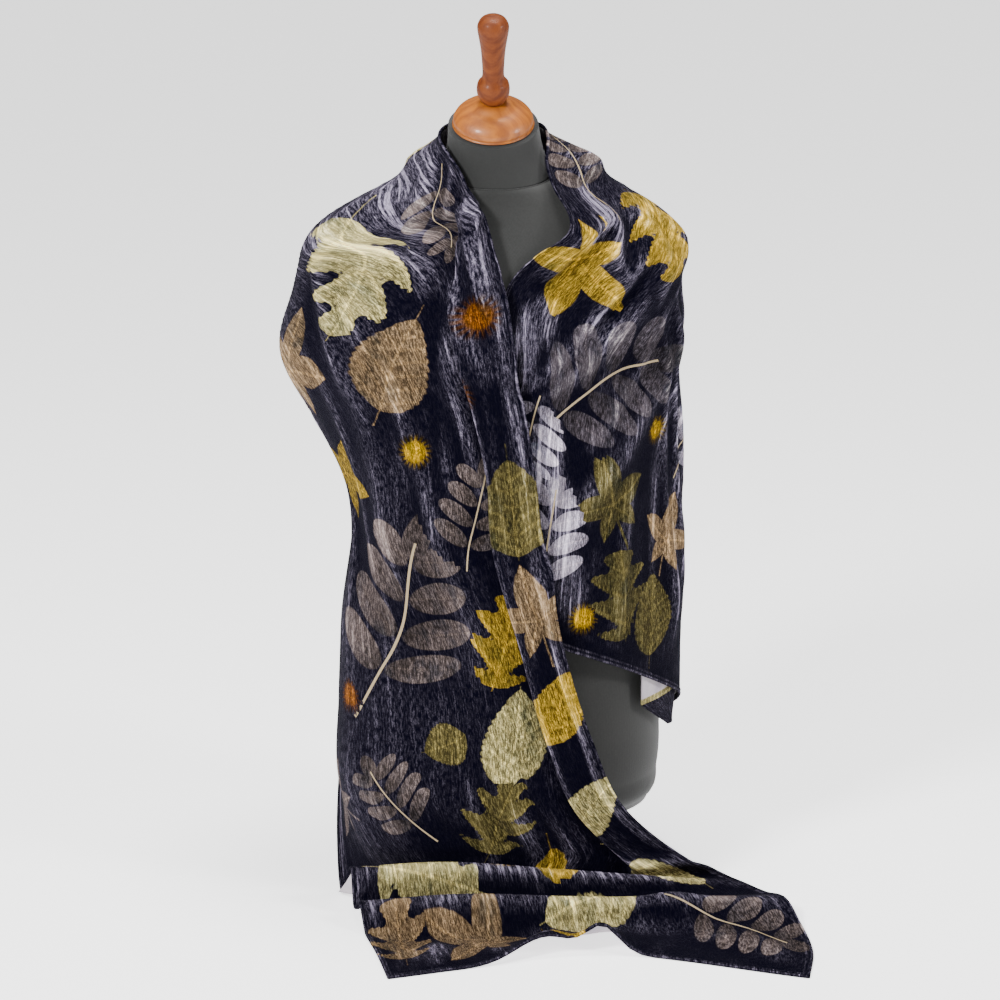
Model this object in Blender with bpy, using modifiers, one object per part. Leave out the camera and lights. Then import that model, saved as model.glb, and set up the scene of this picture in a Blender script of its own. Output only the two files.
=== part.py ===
"""Long velvet scarf worn over a limbless dress form that stands on a low round base.

The scarf is one oblong of cloth. It is followed by two coordinates: "along", the distance in
metres from the hem that lies on the floor, and "across", from the selvedge beside the neck
(inner) to the selvedge at the arm (outer). Angles round the form start at the front (-Y) and
grow towards +X. The scarf runs from the floor up the front, past the left side (-90 degrees),
round the back (-180) and down over the right side (-270) to the front again.
"""
import math
from collections import namedtuple

import bmesh
import bpy
import numpy as np
from mathutils import Matrix, Vector

# Scarf
CLOTH_WIDTH = 0.50
CLOTH_THICKNESS = 0.002
CLOTH_CLEARANCE = 0.0024
SEAM_GAP = 0.0003
CLOTH_SEAM_GAP = 0.0006
LAYER_GAP = 0.0042
LEAST_TUCK = 0.006
PLEAT_OPENS = 0.014
CROSSING_LIFT = 0.0050
# The collar's inner side is drawn in against the neck.
COLLAR_PULL = 0.92
COLLAR_GAP = 0.0050
COLLAR_SHARE = 0.15
COLLAR_FROM = 1.04
COLLAR_FULL = 1.12
COLLAR_LEAVES = 1.45
COLLAR_UNTIL = 1.52
CROSSING_FROM = -34.0
CROSSING_FULL = -20.0
LYING_Z = CLOTH_THICKNESS / 2
HULL_STEPS = 160
HULL_TOP = 0.86

# Where one stretch of the scarf ends and the next begins, along the scarf
FLOOR_TO_LONG = 0.375
LONG_TO_BACK = 1.10
BACK_TO_SHORT = 1.44
SHORT_HEM = 1.97
FREE_FULL = 0.56
FREE_NONE = 0.70

# Dress form and stand
FORM_SIDES = 44
NECK_SIDES = 36
NECK_TILT = math.radians(20.0)
SEAM_TILT = math.radians(4.0)
NECK_SEAM = Vector((-0.004, 0.004, 0.7655))
NECK_TOP = Vector((-0.007, -0.006, 0.8205))
NECK_SEAM_RADIUS = 0.0600
NECK_WAIST_RADIUS = 0.0500
NECK_TOP_RADIUS = 0.0470
TORSO_FOOT_Z = 0.066
BASE_RADIUS = 0.100
BASE_HEIGHT = 0.020
POLE_RADIUS = 0.0125
FLANGE_RADIUS = 0.040
FLANGE_HEIGHT = 0.006

# Turned profiles, radius and height, top to bottom
CAP_PROFILE = [(0.0, 0.0270), (0.0150, 0.0266), (0.0235, 0.0216), (0.0305, 0.0184), (0.0368, 0.0142),
               (0.0406, 0.0094), (0.0418, 0.0054), (0.0412, 0.0018), (0.0395, 0.0), (0.0, 0.0)]
FINIAL_PROFILE = [(0.0, 0.1010), (0.0066, 0.1004), (0.0127, 0.0975), (0.0160, 0.0915), (0.0163, 0.0860),
                  (0.0148, 0.0760), (0.0128, 0.0620), (0.0116, 0.0460), (0.0112, 0.0330),
                  (0.0127, 0.0270), (0.0160, 0.0225), (0.0172, 0.0160), (0.0166, 0.0095),
                  (0.0140, 0.0040), (0.0105, 0.0), (0.0, 0.0)]
BASE_PROFILE = [(0.0, BASE_HEIGHT), (0.030, BASE_HEIGHT), (0.075, 0.0170), (0.094, 0.0135),
                (BASE_RADIUS, 0.0090), (BASE_RADIUS, 0.0015), (0.0985, 0.0), (0.0, 0.0)]
CAP_SEAT = 0.0008
FINIAL_SEAT = CAP_SEAT + CAP_PROFILE[0][1] + SEAM_GAP

# Rings of the torso, foot to neck: half width, half depth, centre and squareness
Ring = namedtuple("Ring", "z half_width half_depth centre_x centre_y power")
TORSO_RINGS = [
    Ring(0.066, 0.118, 0.074, 0.004, 0.008, 2.1),
    Ring(0.070, 0.142, 0.096, 0.004, 0.008, 2.1),
    Ring(0.083, 0.160, 0.113, 0.004, 0.008, 2.2),
    Ring(0.112, 0.167, 0.122, 0.004, 0.009, 2.2),
    Ring(0.165, 0.169, 0.126, 0.004, 0.010, 2.2),
    Ring(0.240, 0.162, 0.120, 0.004, 0.009, 2.2),
    Ring(0.320, 0.144, 0.106, 0.003, 0.004, 2.2),
    Ring(0.395, 0.130, 0.095, 0.002, 0.000, 2.2),
    Ring(0.470, 0.140, 0.102, 0.001, -0.005, 2.2),
    Ring(0.550, 0.158, 0.121, 0.000, -0.011, 2.2),
    Ring(0.605, 0.166, 0.124, 0.000, -0.008, 2.2),
    Ring(0.650, 0.182, 0.110, 0.000, 0.000, 2.2),
    Ring(0.688, 0.187, 0.092, 0.000, 0.006, 2.1),
    Ring(0.708, 0.177, 0.082, 0.000, 0.009, 2.0),
    Ring(0.725, 0.154, 0.074, -0.001, 0.010, 2.0),
    Ring(0.742, 0.118, 0.067, -0.002, 0.010, 2.0),
    Ring(0.756, 0.080, 0.062, -0.003, 0.007, 2.0),
]

# How far the cloth stands off the form, by height and direction
StandOff = namedtuple("StandOff", "z front front_right right back_right back back_left left front_left")
STAND_OFFS = [
    StandOff(0.060, 0.006, 0.012, 0.004, 0.012, 0.006, -0.004, -0.021, 0.008),
    StandOff(0.200, 0.005, 0.010, 0.004, 0.012, 0.006, -0.004, -0.021, 0.008),
    StandOff(0.450, 0.002, 0.006, -0.007, 0.010, 0.005, 0.000, -0.020, 0.008),
    StandOff(0.500, 0.001, 0.005, -0.006, 0.010, 0.006, 0.008, 0.004, 0.012),
    StandOff(0.575, 0.000, 0.003, -0.006, 0.010, 0.007, 0.020, 0.042, 0.018),
    StandOff(0.650, 0.000, 0.002, -0.003, 0.008, 0.001, 0.012, 0.026, 0.010),
    StandOff(0.690, 0.002, 0.005, 0.006, 0.006, 0.000, 0.008, 0.018, 0.006),
    StandOff(0.712, 0.004, 0.011, 0.011, 0.008, 0.001, 0.007, 0.016, 0.006),
    StandOff(0.735, 0.005, 0.017, 0.023, 0.014, 0.004, 0.009, 0.018, 0.007),
    StandOff(0.757, 0.006, 0.014, 0.038, 0.026, 0.008, 0.014, 0.028, 0.008),
    StandOff(0.778, 0.006, 0.010, 0.050, 0.034, 0.010, 0.018, 0.036, 0.008),
    StandOff(0.800, 0.006, 0.008, 0.042, 0.032, 0.010, 0.014, 0.024, 0.008),
    StandOff(0.832, 0.006, 0.008, 0.014, 0.014, 0.008, 0.008, 0.008, 0.008),
]
DIRECTIONS = [0.0, 45.0, 90.0, 135.0, 180.0, 225.0, 270.0, 315.0, 360.0]

# Cross threads of the scarf where it lies on the form: angle and height at the inner selvedge,
# the middle and the outer selvedge, with the width of the laid-over band and of its tuck
Thread = namedtuple("Thread", "along in_deg in_z mid_deg mid_z out_deg out_z band tuck")
THREADS = [
    Thread(0.500, 27.0, 0.220, -46.0, 0.215, -118.0, 0.215, 0.056, 0.036),
    Thread(0.585, 23.0, 0.300, -50.0, 0.300, -124.0, 0.300, 0.058, 0.038),
    Thread(0.685, 18.0, 0.395, -54.0, 0.400, -126.0, 0.385, 0.058, 0.038),
    Thread(0.765, 14.0, 0.475, -56.0, 0.475, -128.0, 0.440, 0.058, 0.038),
    Thread(0.840, 10.0, 0.552, -62.0, 0.538, -131.0, 0.460, 0.060, 0.038),
    Thread(0.900, 6.0, 0.613, -71.0, 0.586, -136.0, 0.462, 0.062, 0.036),
    Thread(0.960, 2.0, 0.669, -81.0, 0.618, -142.0, 0.450, 0.058, 0.030),
    Thread(1.000, -5.0, 0.706, -89.0, 0.634, -147.0, 0.434, 0.050, 0.022),
    Thread(1.035, -14.0, 0.735, -97.0, 0.644, -151.0, 0.418, 0.042, 0.010),
    Thread(1.065, -28.0, 0.763, -107.0, 0.652, -155.0, 0.402, 0.034, 0.0),
    Thread(1.100, -50.0, 0.791, -118.0, 0.657, -160.0, 0.385, 0.028, 0.0),
    Thread(1.145, -86.0, 0.809, -134.0, 0.657, -166.0, 0.367, 0.026, 0.0),
    Thread(1.200, -135.0, 0.816, -156.0, 0.648, -174.0, 0.352, 0.026, 0.0),
    Thread(1.260, -180.0, 0.817, -180.0, 0.636, -184.0, 0.342, 0.026, 0.0),
    Thread(1.330, -225.0, 0.816, -206.0, 0.636, -197.0, 0.342, 0.026, 0.0),
    Thread(1.390, -262.0, 0.813, -231.0, 0.646, -208.0, 0.342, 0.026, 0.0),
    Thread(1.440, -290.0, 0.797, -251.0, 0.650, -217.0, 0.337, 0.026, 0.0),
    Thread(1.480, -307.0, 0.770, -265.0, 0.636, -223.0, 0.327, 0.026, 0.0),
    Thread(1.530, -319.0, 0.722, -276.0, 0.604, -228.0, 0.312, 0.026, 0.0),
    Thread(1.570, -338.0, 0.698, -286.0, 0.578, -232.0, 0.300, 0.026, 0.0),
    Thread(1.620, -356.0, 0.667, -296.0, 0.548, -235.0, 0.286, 0.026, 0.0),
    Thread(1.680, -362.0, 0.610, -300.0, 0.500, -237.0, 0.268, 0.026, 0.0),
    Thread(1.780, -365.0, 0.505, -303.0, 0.420, -239.0, 0.232, 0.026, 0.0),
    Thread(1.880, -367.0, 0.405, -305.0, 0.338, -241.0, 0.190, 0.026, 0.0),
    Thread(1.970, -368.0, 0.316, -307.0, 0.254, -244.0, 0.134, 0.026, 0.0),
]

# Cross threads of the end that hangs free and lies on the floor: four points of each,
# from the inner to the outer selvedge, and the band and its tuck
Lying = namedtuple("Lying", "along inner front side outer band tuck")
LYING_THREADS = [
    Lying(0.000, (0.316, -0.333, 0.001), (0.112, -0.272, 0.001), (-0.010, -0.302, 0.001),
          (-0.114, -0.335, 0.001), 0.110, 0.0),
    Lying(0.070, (0.324, -0.262, 0.001), (0.104, -0.250, 0.004), (-0.020, -0.266, 0.002),
          (-0.127, -0.272, 0.001), 0.106, 0.0),
    Lying(0.130, (0.316, -0.198, 0.004), (0.098, -0.234, 0.014), (-0.030, -0.238, 0.010),
          (-0.140, -0.222, 0.001), 0.100, 0.0),
    Lying(0.170, (0.302, -0.162, 0.018), (0.090, -0.213, 0.040), (-0.040, -0.208, 0.041),
          (-0.148, -0.188, 0.024), 0.096, 0.0),
    Lying(0.205, (0.285, -0.138, 0.014), (0.080, -0.197, 0.024), (-0.046, -0.190, 0.019),
          (-0.154, -0.168, 0.010), 0.090, 0.0),
    Lying(0.250, (0.262, -0.126, 0.020), (0.066, -0.179, 0.057), (-0.055, -0.171, 0.062),
          (-0.158, -0.146, 0.046), 0.084, 0.0),
    Lying(0.300, (0.232, -0.124, 0.034), (0.048, -0.158, 0.024), (-0.068, -0.147, 0.015),
          (-0.171, -0.096, 0.001), 0.074, 0.0),
    Lying(0.345, (0.190, -0.127, 0.058), (0.022, -0.150, 0.058), (-0.120, -0.127, 0.052),
          (-0.176, -0.040, 0.044), 0.066, 0.012),
    Lying(0.405, (0.132, -0.138, 0.112), (-0.016, -0.158, 0.116), (-0.158, -0.104, 0.112),
          (-0.174, 0.020, 0.108), 0.060, 0.024),
    Lying(0.485, (0.096, -0.147, 0.192), (-0.038, -0.160, 0.198), (-0.164, -0.088, 0.198),
          (-0.166, 0.070, 0.196), 0.056, 0.036),
    Lying(0.585, (0.064, -0.150, 0.300), (-0.052, -0.158, 0.300), (-0.166, -0.080, 0.300),
          (-0.140, 0.098, 0.300), 0.058, 0.038),
    Lying(0.720, (0.046, -0.152, 0.430), (-0.062, -0.156, 0.432), (-0.166, -0.078, 0.432),
          (-0.128, 0.112, 0.430), 0.058, 0.038),
]
LYING_STATIONS = [0.0, 0.38, 0.70, 1.0]

# Soft folds on the form: a ridge (or, with a negative height, a trough) from one place to another
Fold = namedtuple("Fold", "from_deg from_z to_deg to_z width height")
FOLDS = [
    Fold(64.0, 0.744, 22.0, 0.678, 0.016, 0.011),
    Fold(88.0, 0.700, 14.0, 0.560, 0.019, 0.010),
    Fold(74.0, 0.665, 12.0, 0.600, 0.016, -0.004),
    Fold(98.0, 0.640, 30.0, 0.430, 0.022, 0.008),
    Fold(104.0, 0.560, 76.0, 0.260, 0.024, 0.008),
    Fold(128.0, 0.520, 112.0, 0.180, 0.024, 0.010),
    Fold(-34.0, 0.740, -28.0, 0.480, 0.018, -0.004),
    Fold(-60.0, 0.690, -44.0, 0.300, 0.024, 0.006),
    Fold(-92.0, 0.690, -74.0, 0.400, 0.026, -0.006),
    Fold(-112.0, 0.660, -104.0, 0.240, 0.026, 0.011),
    Fold(-132.0, 0.760, -166.0, 0.540, 0.026, 0.014),
    Fold(-228.0, 0.760, -194.0, 0.540, 0.026, 0.014),
    Fold(-144.0, 0.650, -180.0, 0.455, 0.026, 0.013),
    Fold(-216.0, 0.650, -184.0, 0.455, 0.026, 0.013),
    Fold(-160.0, 0.500, -186.0, 0.390, 0.022, 0.010),
]

# Waves of the lying hem: where across the floor, how wide, how far set back and how high
HemWave = namedtuple("HemWave", "x half_width set_back lift")
HEM_WAVES = [
    HemWave(0.044, 0.040, 0.004, 0.022),
    HemWave(0.106, 0.024, 0.002, 0.030),
]
HEM_WAVE_REACH = 0.13

BLACK_VELVET = (0.006, 0.006, 0.014, 1.0)
CHARCOAL = (0.045, 0.047, 0.044, 1.0)
DARK_CHARCOAL = (0.036, 0.038, 0.036, 1.0)
LIGHT_WOOD = (0.42, 0.17, 0.06, 1.0)
RED_WOOD = (0.26, 0.07, 0.03, 1.0)
DARK_WOOD = (0.10, 0.045, 0.025, 1.0)


def smooth_step(low, high, value):
    """A soft change from 0 at low to 1 at high."""
    t = np.clip((value - low) / (high - low), 0.0, 1.0)
    return t * t * (3.0 - 2.0 * t)


def curve(knots, values, where):
    """A smooth curve through the values at the knots, read at each place."""
    knots = np.asarray(knots, float)
    values = np.asarray(values, float)
    slopes = np.gradient(values, knots, axis=0)
    i = np.clip(np.searchsorted(knots, where) - 1, 0, len(knots) - 2)
    gap = knots[i + 1] - knots[i]
    t = np.clip((where - knots[i]) / gap, 0.0, 1.0)
    if values.ndim > 1:
        gap, t = gap[..., None], t[..., None]
    rise = t * t * (3.0 - 2.0 * t)
    return ((1.0 - rise) * values[i] + rise * values[i + 1]
            + gap * t * (1.0 - t) ** 2 * slopes[i] - gap * t * t * (1.0 - t) * slopes[i + 1])


def torso_radius(degrees, z):
    """Distance from the upright axis to the torso or neck, by direction and height."""
    rings = np.array(TORSO_RINGS + [
        Ring(0.775, 0.0560, 0.0560, NECK_SEAM.x, 0.002, 2.0),
        Ring(0.800, 0.0500, 0.0500, NECK_TOP.x, -0.004, 2.0),
        Ring(HULL_TOP, 0.0490, 0.0490, NECK_TOP.x, -0.008, 2.0)])
    width, depth, centre_x, centre_y, power = curve(rings[:, 0], rings[:, 1:], z).T
    turn = np.radians(degrees)
    side = np.abs(np.sin(turn)) / width
    front = np.abs(np.cos(turn)) / depth
    oval = (side ** power + front ** power) ** (-1.0 / power)
    return oval + centre_x * np.sin(turn) - centre_y * np.cos(turn)


def hang_table():
    """Radius of the hanging cloth on a grid of heights and directions."""
    heights = np.linspace(0.0, HULL_TOP, HULL_STEPS)
    degrees = np.arange(0.0, 361.0, 5.0)
    z_grid, deg_grid = np.meshgrid(heights, degrees, indexing="ij")
    form = torso_radius(deg_grid.ravel(), np.maximum(z_grid.ravel(), TORSO_FOOT_Z))
    form = form.reshape(z_grid.shape)
    widest = np.maximum.accumulate(form[::-1], axis=0)[::-1]
    offs = np.array(STAND_OFFS)
    away = curve(offs[:, 0], offs[:, 1:], heights)
    away = np.concatenate([away, away[:, :1]], axis=1)
    around = curve(DIRECTIONS, away.T, degrees).T
    return heights, degrees, np.maximum(widest + around, form) + CLOTH_CLEARANCE


HANG_HEIGHTS, HANG_DEGREES, HANG_RADII = hang_table()


def hang_radius(degrees, z):
    """Radius of the innermost layer of hanging cloth, by direction and height."""
    row = np.clip(z / HULL_TOP, 0.0, 1.0) * (HULL_STEPS - 1)
    column = np.mod(degrees, 360.0) / 5.0
    r0 = np.clip(row.astype(int), 0, HULL_STEPS - 2)
    c0 = np.clip(column.astype(int), 0, len(HANG_DEGREES) - 2)
    fr = row - r0
    fc = column - c0
    low = HANG_RADII[r0, c0] * (1 - fc) + HANG_RADII[r0, c0 + 1] * fc
    high = HANG_RADII[r0 + 1, c0] * (1 - fc) + HANG_RADII[r0 + 1, c0 + 1] * fc
    return low * (1 - fr) + high * fr


def fold_height(degrees, z):
    """Height of the soft folds at a place on the form."""
    total = np.zeros_like(z)
    for fold in FOLDS:
        middle = hang_radius(np.array([(fold.from_deg + fold.to_deg) / 2]),
                             np.array([(fold.from_z + fold.to_z) / 2]))[0]
        scale = math.radians(1.0) * middle
        off = np.mod(degrees - fold.from_deg + 180.0, 360.0) - 180.0
        run_x = (fold.to_deg - fold.from_deg) * scale
        run_z = fold.to_z - fold.from_z
        length = math.hypot(run_x, run_z)
        near_x = off * scale
        near_z = z - fold.from_z
        along = (near_x * run_x + near_z * run_z) / length ** 2
        beside = (near_x * run_z - near_z * run_x) / length
        ends = smooth_step(-0.12, 0.22, along) * (1.0 - smooth_step(0.78, 1.12, along))
        total += fold.height * ends * np.exp(-(beside / fold.width) ** 2)
    return total


def worn_point(share, along):
    """Points of the scarf's base layer where it lies on the form."""
    rows = np.array(THREADS)
    mid = curve(rows[:, 0], rows[:, 1:7], along)
    controls = np.stack([mid[:, 0:2], mid[:, 2:4], mid[:, 4:6]], axis=0)
    first = (1 - share) * (1 - 2 * share)
    second = 4 * share * (1 - share)
    third = share * (2 * share - 1)
    place = controls[0] * first[:, None] + controls[1] * second[:, None] + controls[2] * third[:, None]
    degrees = place[:, 0]
    z = place[:, 1]
    crossing = (smooth_step(CROSSING_FROM, CROSSING_FULL, degrees)
                * (1.0 - smooth_step(0.70, 0.74, z)) * (along < LONG_TO_BACK))
    radius = hang_radius(degrees, z) + fold_height(degrees, z) + CROSSING_LIFT * crossing
    turn = np.radians(degrees)
    return np.stack([radius * np.sin(turn), -radius * np.cos(turn), z], axis=1)


def lying_point(share, along):
    """Points of the scarf's base layer where it hangs free or lies on the floor."""
    knots = [row.along for row in LYING_THREADS]
    stations = np.array([[row.inner, row.front, row.side, row.outer] for row in LYING_THREADS])
    four = curve(knots, stations.reshape(len(knots), -1), along).reshape(-1, 4, 3)
    points = np.empty((len(share), 3))
    for i, (row, s) in enumerate(zip(four, share)):
        points[i] = curve(LYING_STATIONS, row, np.array([s]))[0]
    near_hem = 1.0 - smooth_step(0.0, HEM_WAVE_REACH, along)
    for wave in HEM_WAVES:
        bump = np.exp(-((points[:, 0] - wave.x) / wave.half_width) ** 2) * near_hem
        points[:, 1] += wave.set_back * bump
        points[:, 2] += wave.lift * bump
    return points


def base_point(share, along):
    """Points of the scarf's base layer, worn part and lying part made into one."""
    worn = worn_point(share, along)
    free = lying_point(share, np.minimum(along, LYING_THREADS[-1].along))
    mix = smooth_step(FREE_FULL, FREE_NONE, along)[:, None]
    points = free * (1 - mix) + worn * mix
    radius = np.hypot(points[:, 0], points[:, 1])
    degrees = np.degrees(np.arctan2(points[:, 0], -points[:, 1]))
    least = hang_radius(degrees, points[:, 2]) * smooth_step(0.03, 0.07, points[:, 2])
    pushed = np.maximum(radius, least)
    drawn_in = (COLLAR_PULL * (1.0 - smooth_step(0.0, COLLAR_SHARE, share))
                * smooth_step(COLLAR_FROM, COLLAR_FULL, along)
                * (1.0 - smooth_step(COLLAR_LEAVES, COLLAR_UNTIL, along)))
    against_neck = torso_radius(degrees, points[:, 2]) + COLLAR_GAP
    pushed += np.minimum(against_neck - pushed, 0.0) * drawn_in
    points[:, :2] *= (pushed / np.maximum(radius, 1e-6))[:, None]
    points[:, 2] = np.maximum(points[:, 2], LYING_Z)
    return points


def band_and_tuck(along):
    """Width of the laid-over band and of its tuck, along the scarf."""
    low = np.array([(row.along, row.band, row.tuck) for row in LYING_THREADS[:-1]])
    high = np.array([(row.along, row.band, row.tuck) for row in THREADS[2:]])
    rows = np.concatenate([low, high])
    return curve(rows[:, 0], rows[:, 1:], along).T


def pleat_path(leg, along):
    """The way across the scarf with its lengthwise pleat.

    Leg 0-1 is the band, 1-2 its fold, 2-3 the tuck, 3-4 the turn back, 4-5 the rest. Where the
    tuck runs out the two folds open together from a half turn to none, and keep their length.
    Returns the distance from the inner selvedge in the base layer, as a share of its width,
    the height over it and the distance in the flat cloth.
    """
    band, tuck = band_and_tuck(along)
    turn = np.maximum(math.pi * smooth_step(0.0, PLEAT_OPENS, tuck), 0.001)
    tuck = np.maximum(tuck, LEAST_TUCK)
    bend = math.pi * LAYER_GAP / 2
    radius = bend / turn
    sine, cosine = np.sin(turn), np.cos(turn)
    top = 2 * radius * (1 - cosine) + tuck * sine
    tuck_start = band + radius * sine
    tuck_end = tuck_start + tuck * cosine
    rest_start = tuck_end + radius * sine
    starts = np.stack([np.zeros_like(band), band, band + bend, band + bend + tuck,
                       band + 2 * bend + tuck, np.full_like(band, CLOTH_WIDTH)])
    rest = CLOTH_WIDTH - starts[4]
    part = np.clip(leg.astype(int), 0, 4)
    t = leg - part
    here = np.arange(len(leg))
    flat = starts[part, here] * (1 - t) + starts[part + 1, here] * t
    left = turn * (1 - t)
    away = np.choose(part, [band * t, band + radius * np.sin(turn * t), tuck_start + tuck * cosine * t,
                            rest_start - radius * np.sin(left), rest_start + rest * t])
    height = np.choose(part, [top, top - radius * (1 - np.cos(turn * t)),
                              top - radius * (1 - cosine) - tuck * sine * t,
                              radius * (1 - np.cos(left)), 0 * top])
    return away / (rest_start + rest), height, flat


def cloth_points(leg, along):
    """Points of the middle of the cloth."""
    share, height, _ = pleat_path(leg, along)
    step = 0.004
    centre = base_point(share, along)
    across = base_point(share + step, along) - base_point(share - step, along)
    onward = base_point(share, along + step) - base_point(share, along - step)
    normal = np.cross(onward, across)
    normal /= np.maximum(np.linalg.norm(normal, axis=1), 1e-9)[:, None]
    points = centre + normal * height[:, None]
    points[:, 2] = np.maximum(points[:, 2], LYING_Z)
    return points


def principled(name, colour, roughness):
    """A plain material of one colour."""
    material = bpy.data.materials.new(name)
    material.use_nodes = True
    shader = material.node_tree.nodes["Principled BSDF"]
    shader.inputs["Base Color"].default_value = colour
    shader.inputs["Roughness"].default_value = roughness
    shader.inputs["Metallic"].default_value = 0.0
    material.diffuse_color = colour
    return material


def add_object(name, mesh, material):
    """Put a mesh in the scarf's collection."""
    obj = bpy.data.objects.new(name, mesh)
    obj.data.materials.append(material)
    bpy.data.collections["velvet_scarf"].objects.link(obj)
    for polygon in mesh.polygons:
        polygon.use_smooth = True
    return obj


def leg_columns(band_cells, turn_cells, tuck_cells, rest_cells):
    """Places of the grid lines across the scarf, by leg of the pleat path."""
    cells = [band_cells, turn_cells, tuck_cells, turn_cells, rest_cells]
    columns = [0.0]
    for leg, count in enumerate(cells):
        columns += [leg + (i + 1) / count for i in range(count)]
    return np.array(columns)


def add_stretch(name, start, end, rows, columns, material):
    """One stretch of the scarf: a grid laid on the drape, thickened to a wall."""
    along = np.linspace(start, end, rows + 1)
    leg_grid, along_grid = np.meshgrid(columns, along)
    legs = np.minimum(leg_grid.ravel(), 4.999999)
    points = cloth_points(legs, along_grid.ravel())
    form = bmesh.new()
    bmesh.ops.create_grid(form, x_segments=len(columns) - 1, y_segments=rows, size=1.0)
    form.verts.ensure_lookup_table()
    for vertex, point in zip(form.verts, points):
        vertex.co = point
    bmesh.ops.recalc_face_normals(form, faces=form.faces)
    mesh = bpy.data.meshes.new(name)
    form.to_mesh(mesh)
    form.free()
    obj = add_object(name, mesh, material)
    wall = obj.modifiers.new("wall", "SOLIDIFY")
    wall.thickness = CLOTH_THICKNESS
    wall.offset = 0.0
    return obj


def ring_points(ring, sides):
    """Points of one torso ring."""
    points = []
    for i in range(sides):
        turn = 2 * math.pi * i / sides
        c, s = math.cos(turn), math.sin(turn)
        x = ring.half_width * math.copysign(abs(c) ** (2 / ring.power), c)
        y = ring.half_depth * math.copysign(abs(s) ** (2 / ring.power), s)
        points.append(Vector((ring.centre_x + x, ring.centre_y + y, ring.z)))
    return points


def tilted_ring(centre, radius, tilt, sides):
    """Points of a circle whose plane leans forward by the tilt."""
    lean = Matrix.Rotation(tilt, 3, "X")
    return [centre + lean @ Vector((radius * math.cos(2 * math.pi * i / sides),
                                    radius * math.sin(2 * math.pi * i / sides), 0.0))
            for i in range(sides)]


def add_loft(name, rings, material):
    """A closed body through rings of equal point counts."""
    form = bmesh.new()
    loops = [[form.verts.new(point) for point in ring] for ring in rings]
    for low, high in zip(loops, loops[1:]):
        for i in range(len(low)):
            j = (i + 1) % len(low)
            form.faces.new((low[i], low[j], high[j], high[i]))
    form.faces.new(list(reversed(loops[0])))
    form.faces.new(loops[-1])
    bmesh.ops.recalc_face_normals(form, faces=form.faces)
    mesh = bpy.data.meshes.new(name)
    form.to_mesh(mesh)
    form.free()
    return add_object(name, mesh, material)


def add_turned(name, profile, steps, material, place, tilt=0.0):
    """A turned piece: its profile, top to bottom, swept round the upright axis."""
    mesh = bpy.data.meshes.new(name)
    mesh.from_pydata([(r, 0.0, z) for r, z in profile], [(i, i + 1) for i in range(len(profile) - 1)], [])
    obj = add_object(name, mesh, material)
    obj.location = place
    obj.rotation_euler = (tilt, 0.0, 0.0)
    screw = obj.modifiers.new("turn", "SCREW")
    screw.steps = steps
    screw.render_steps = steps
    screw.use_merge_vertices = True
    screw.merge_threshold = 0.00005
    return obj


def refined_rings():
    """Torso rings with others between them, read from the same smooth curve."""
    table = np.array(TORSO_RINGS)
    heights = list(table[:4, 0])
    for low, high in zip(table[3:, 0], table[4:, 0]):
        heights += [(low + high) / 2, high]
    values = curve(table[:, 0], table[:, 1:], np.array(heights))
    return [Ring(z, *row) for z, row in zip(heights, values)]


def add_form():
    """The torso, the neck and the wooden cap with its finial."""
    charcoal = principled("jersey", CHARCOAL, 0.9)
    rings = [ring_points(ring, FORM_SIDES) for ring in refined_rings()]
    rings.append(tilted_ring(NECK_SEAM, NECK_SEAM_RADIUS, SEAM_TILT, FORM_SIDES))
    add_loft("form_torso", rings, charcoal)
    add_neck(principled("neck_jersey", DARK_CHARCOAL, 0.9))
    add_cap(principled("light_wood", LIGHT_WOOD, 0.35))
    add_finial(principled("red_wood", RED_WOOD, 0.35))


def add_neck(material):
    """The neck, from the seam on the torso to the leaning plate under the cap."""
    seam = Matrix.Rotation(SEAM_TILT, 3, "X") @ Vector((0.0, 0.0, SEAM_GAP))
    steps = [(0.0, NECK_SEAM_RADIUS - 0.001), (0.25, 0.0545), (0.55, NECK_WAIST_RADIUS),
             (0.85, 0.0478), (1.0, NECK_TOP_RADIUS)]
    rings = [tilted_ring(NECK_SEAM.lerp(NECK_TOP, t) + seam * (1 - t), radius,
                         SEAM_TILT + (NECK_TILT - SEAM_TILT) * t, NECK_SIDES)
             for t, radius in steps]
    add_loft("form_neck", rings, material)


def leaning(distance):
    """A place on the neck's leaning axis, above the neck's plate."""
    return NECK_TOP + Matrix.Rotation(NECK_TILT, 3, "X") @ Vector((0.0, 0.0, distance))


def add_cap(material):
    """The low wooden dome that closes the neck."""
    add_turned("neck_cap", CAP_PROFILE, 40, material, leaning(CAP_SEAT), NECK_TILT)


def add_finial(material):
    """The turned handle on the cap."""
    add_turned("finial", FINIAL_PROFILE, 28, material, leaning(FINIAL_SEAT), NECK_TILT)


def add_stand():
    """The base, the pole and the flange under the torso."""
    material = principled("dark_wood", DARK_WOOD, 0.5)
    add_turned("stand_base", BASE_PROFILE, 40, material, (0.0, 0.0, 0.0))
    top = TORSO_FOOT_Z - SEAM_GAP
    foot = BASE_HEIGHT + SEAM_GAP
    pole = [(0.0, top), (FLANGE_RADIUS, top), (FLANGE_RADIUS, top - FLANGE_HEIGHT),
            (POLE_RADIUS, top - FLANGE_HEIGHT), (POLE_RADIUS, foot), (0.0, foot)]
    add_turned("stand_pole", pole, 28, material, (0.0, 0.0, 0.0))


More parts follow.
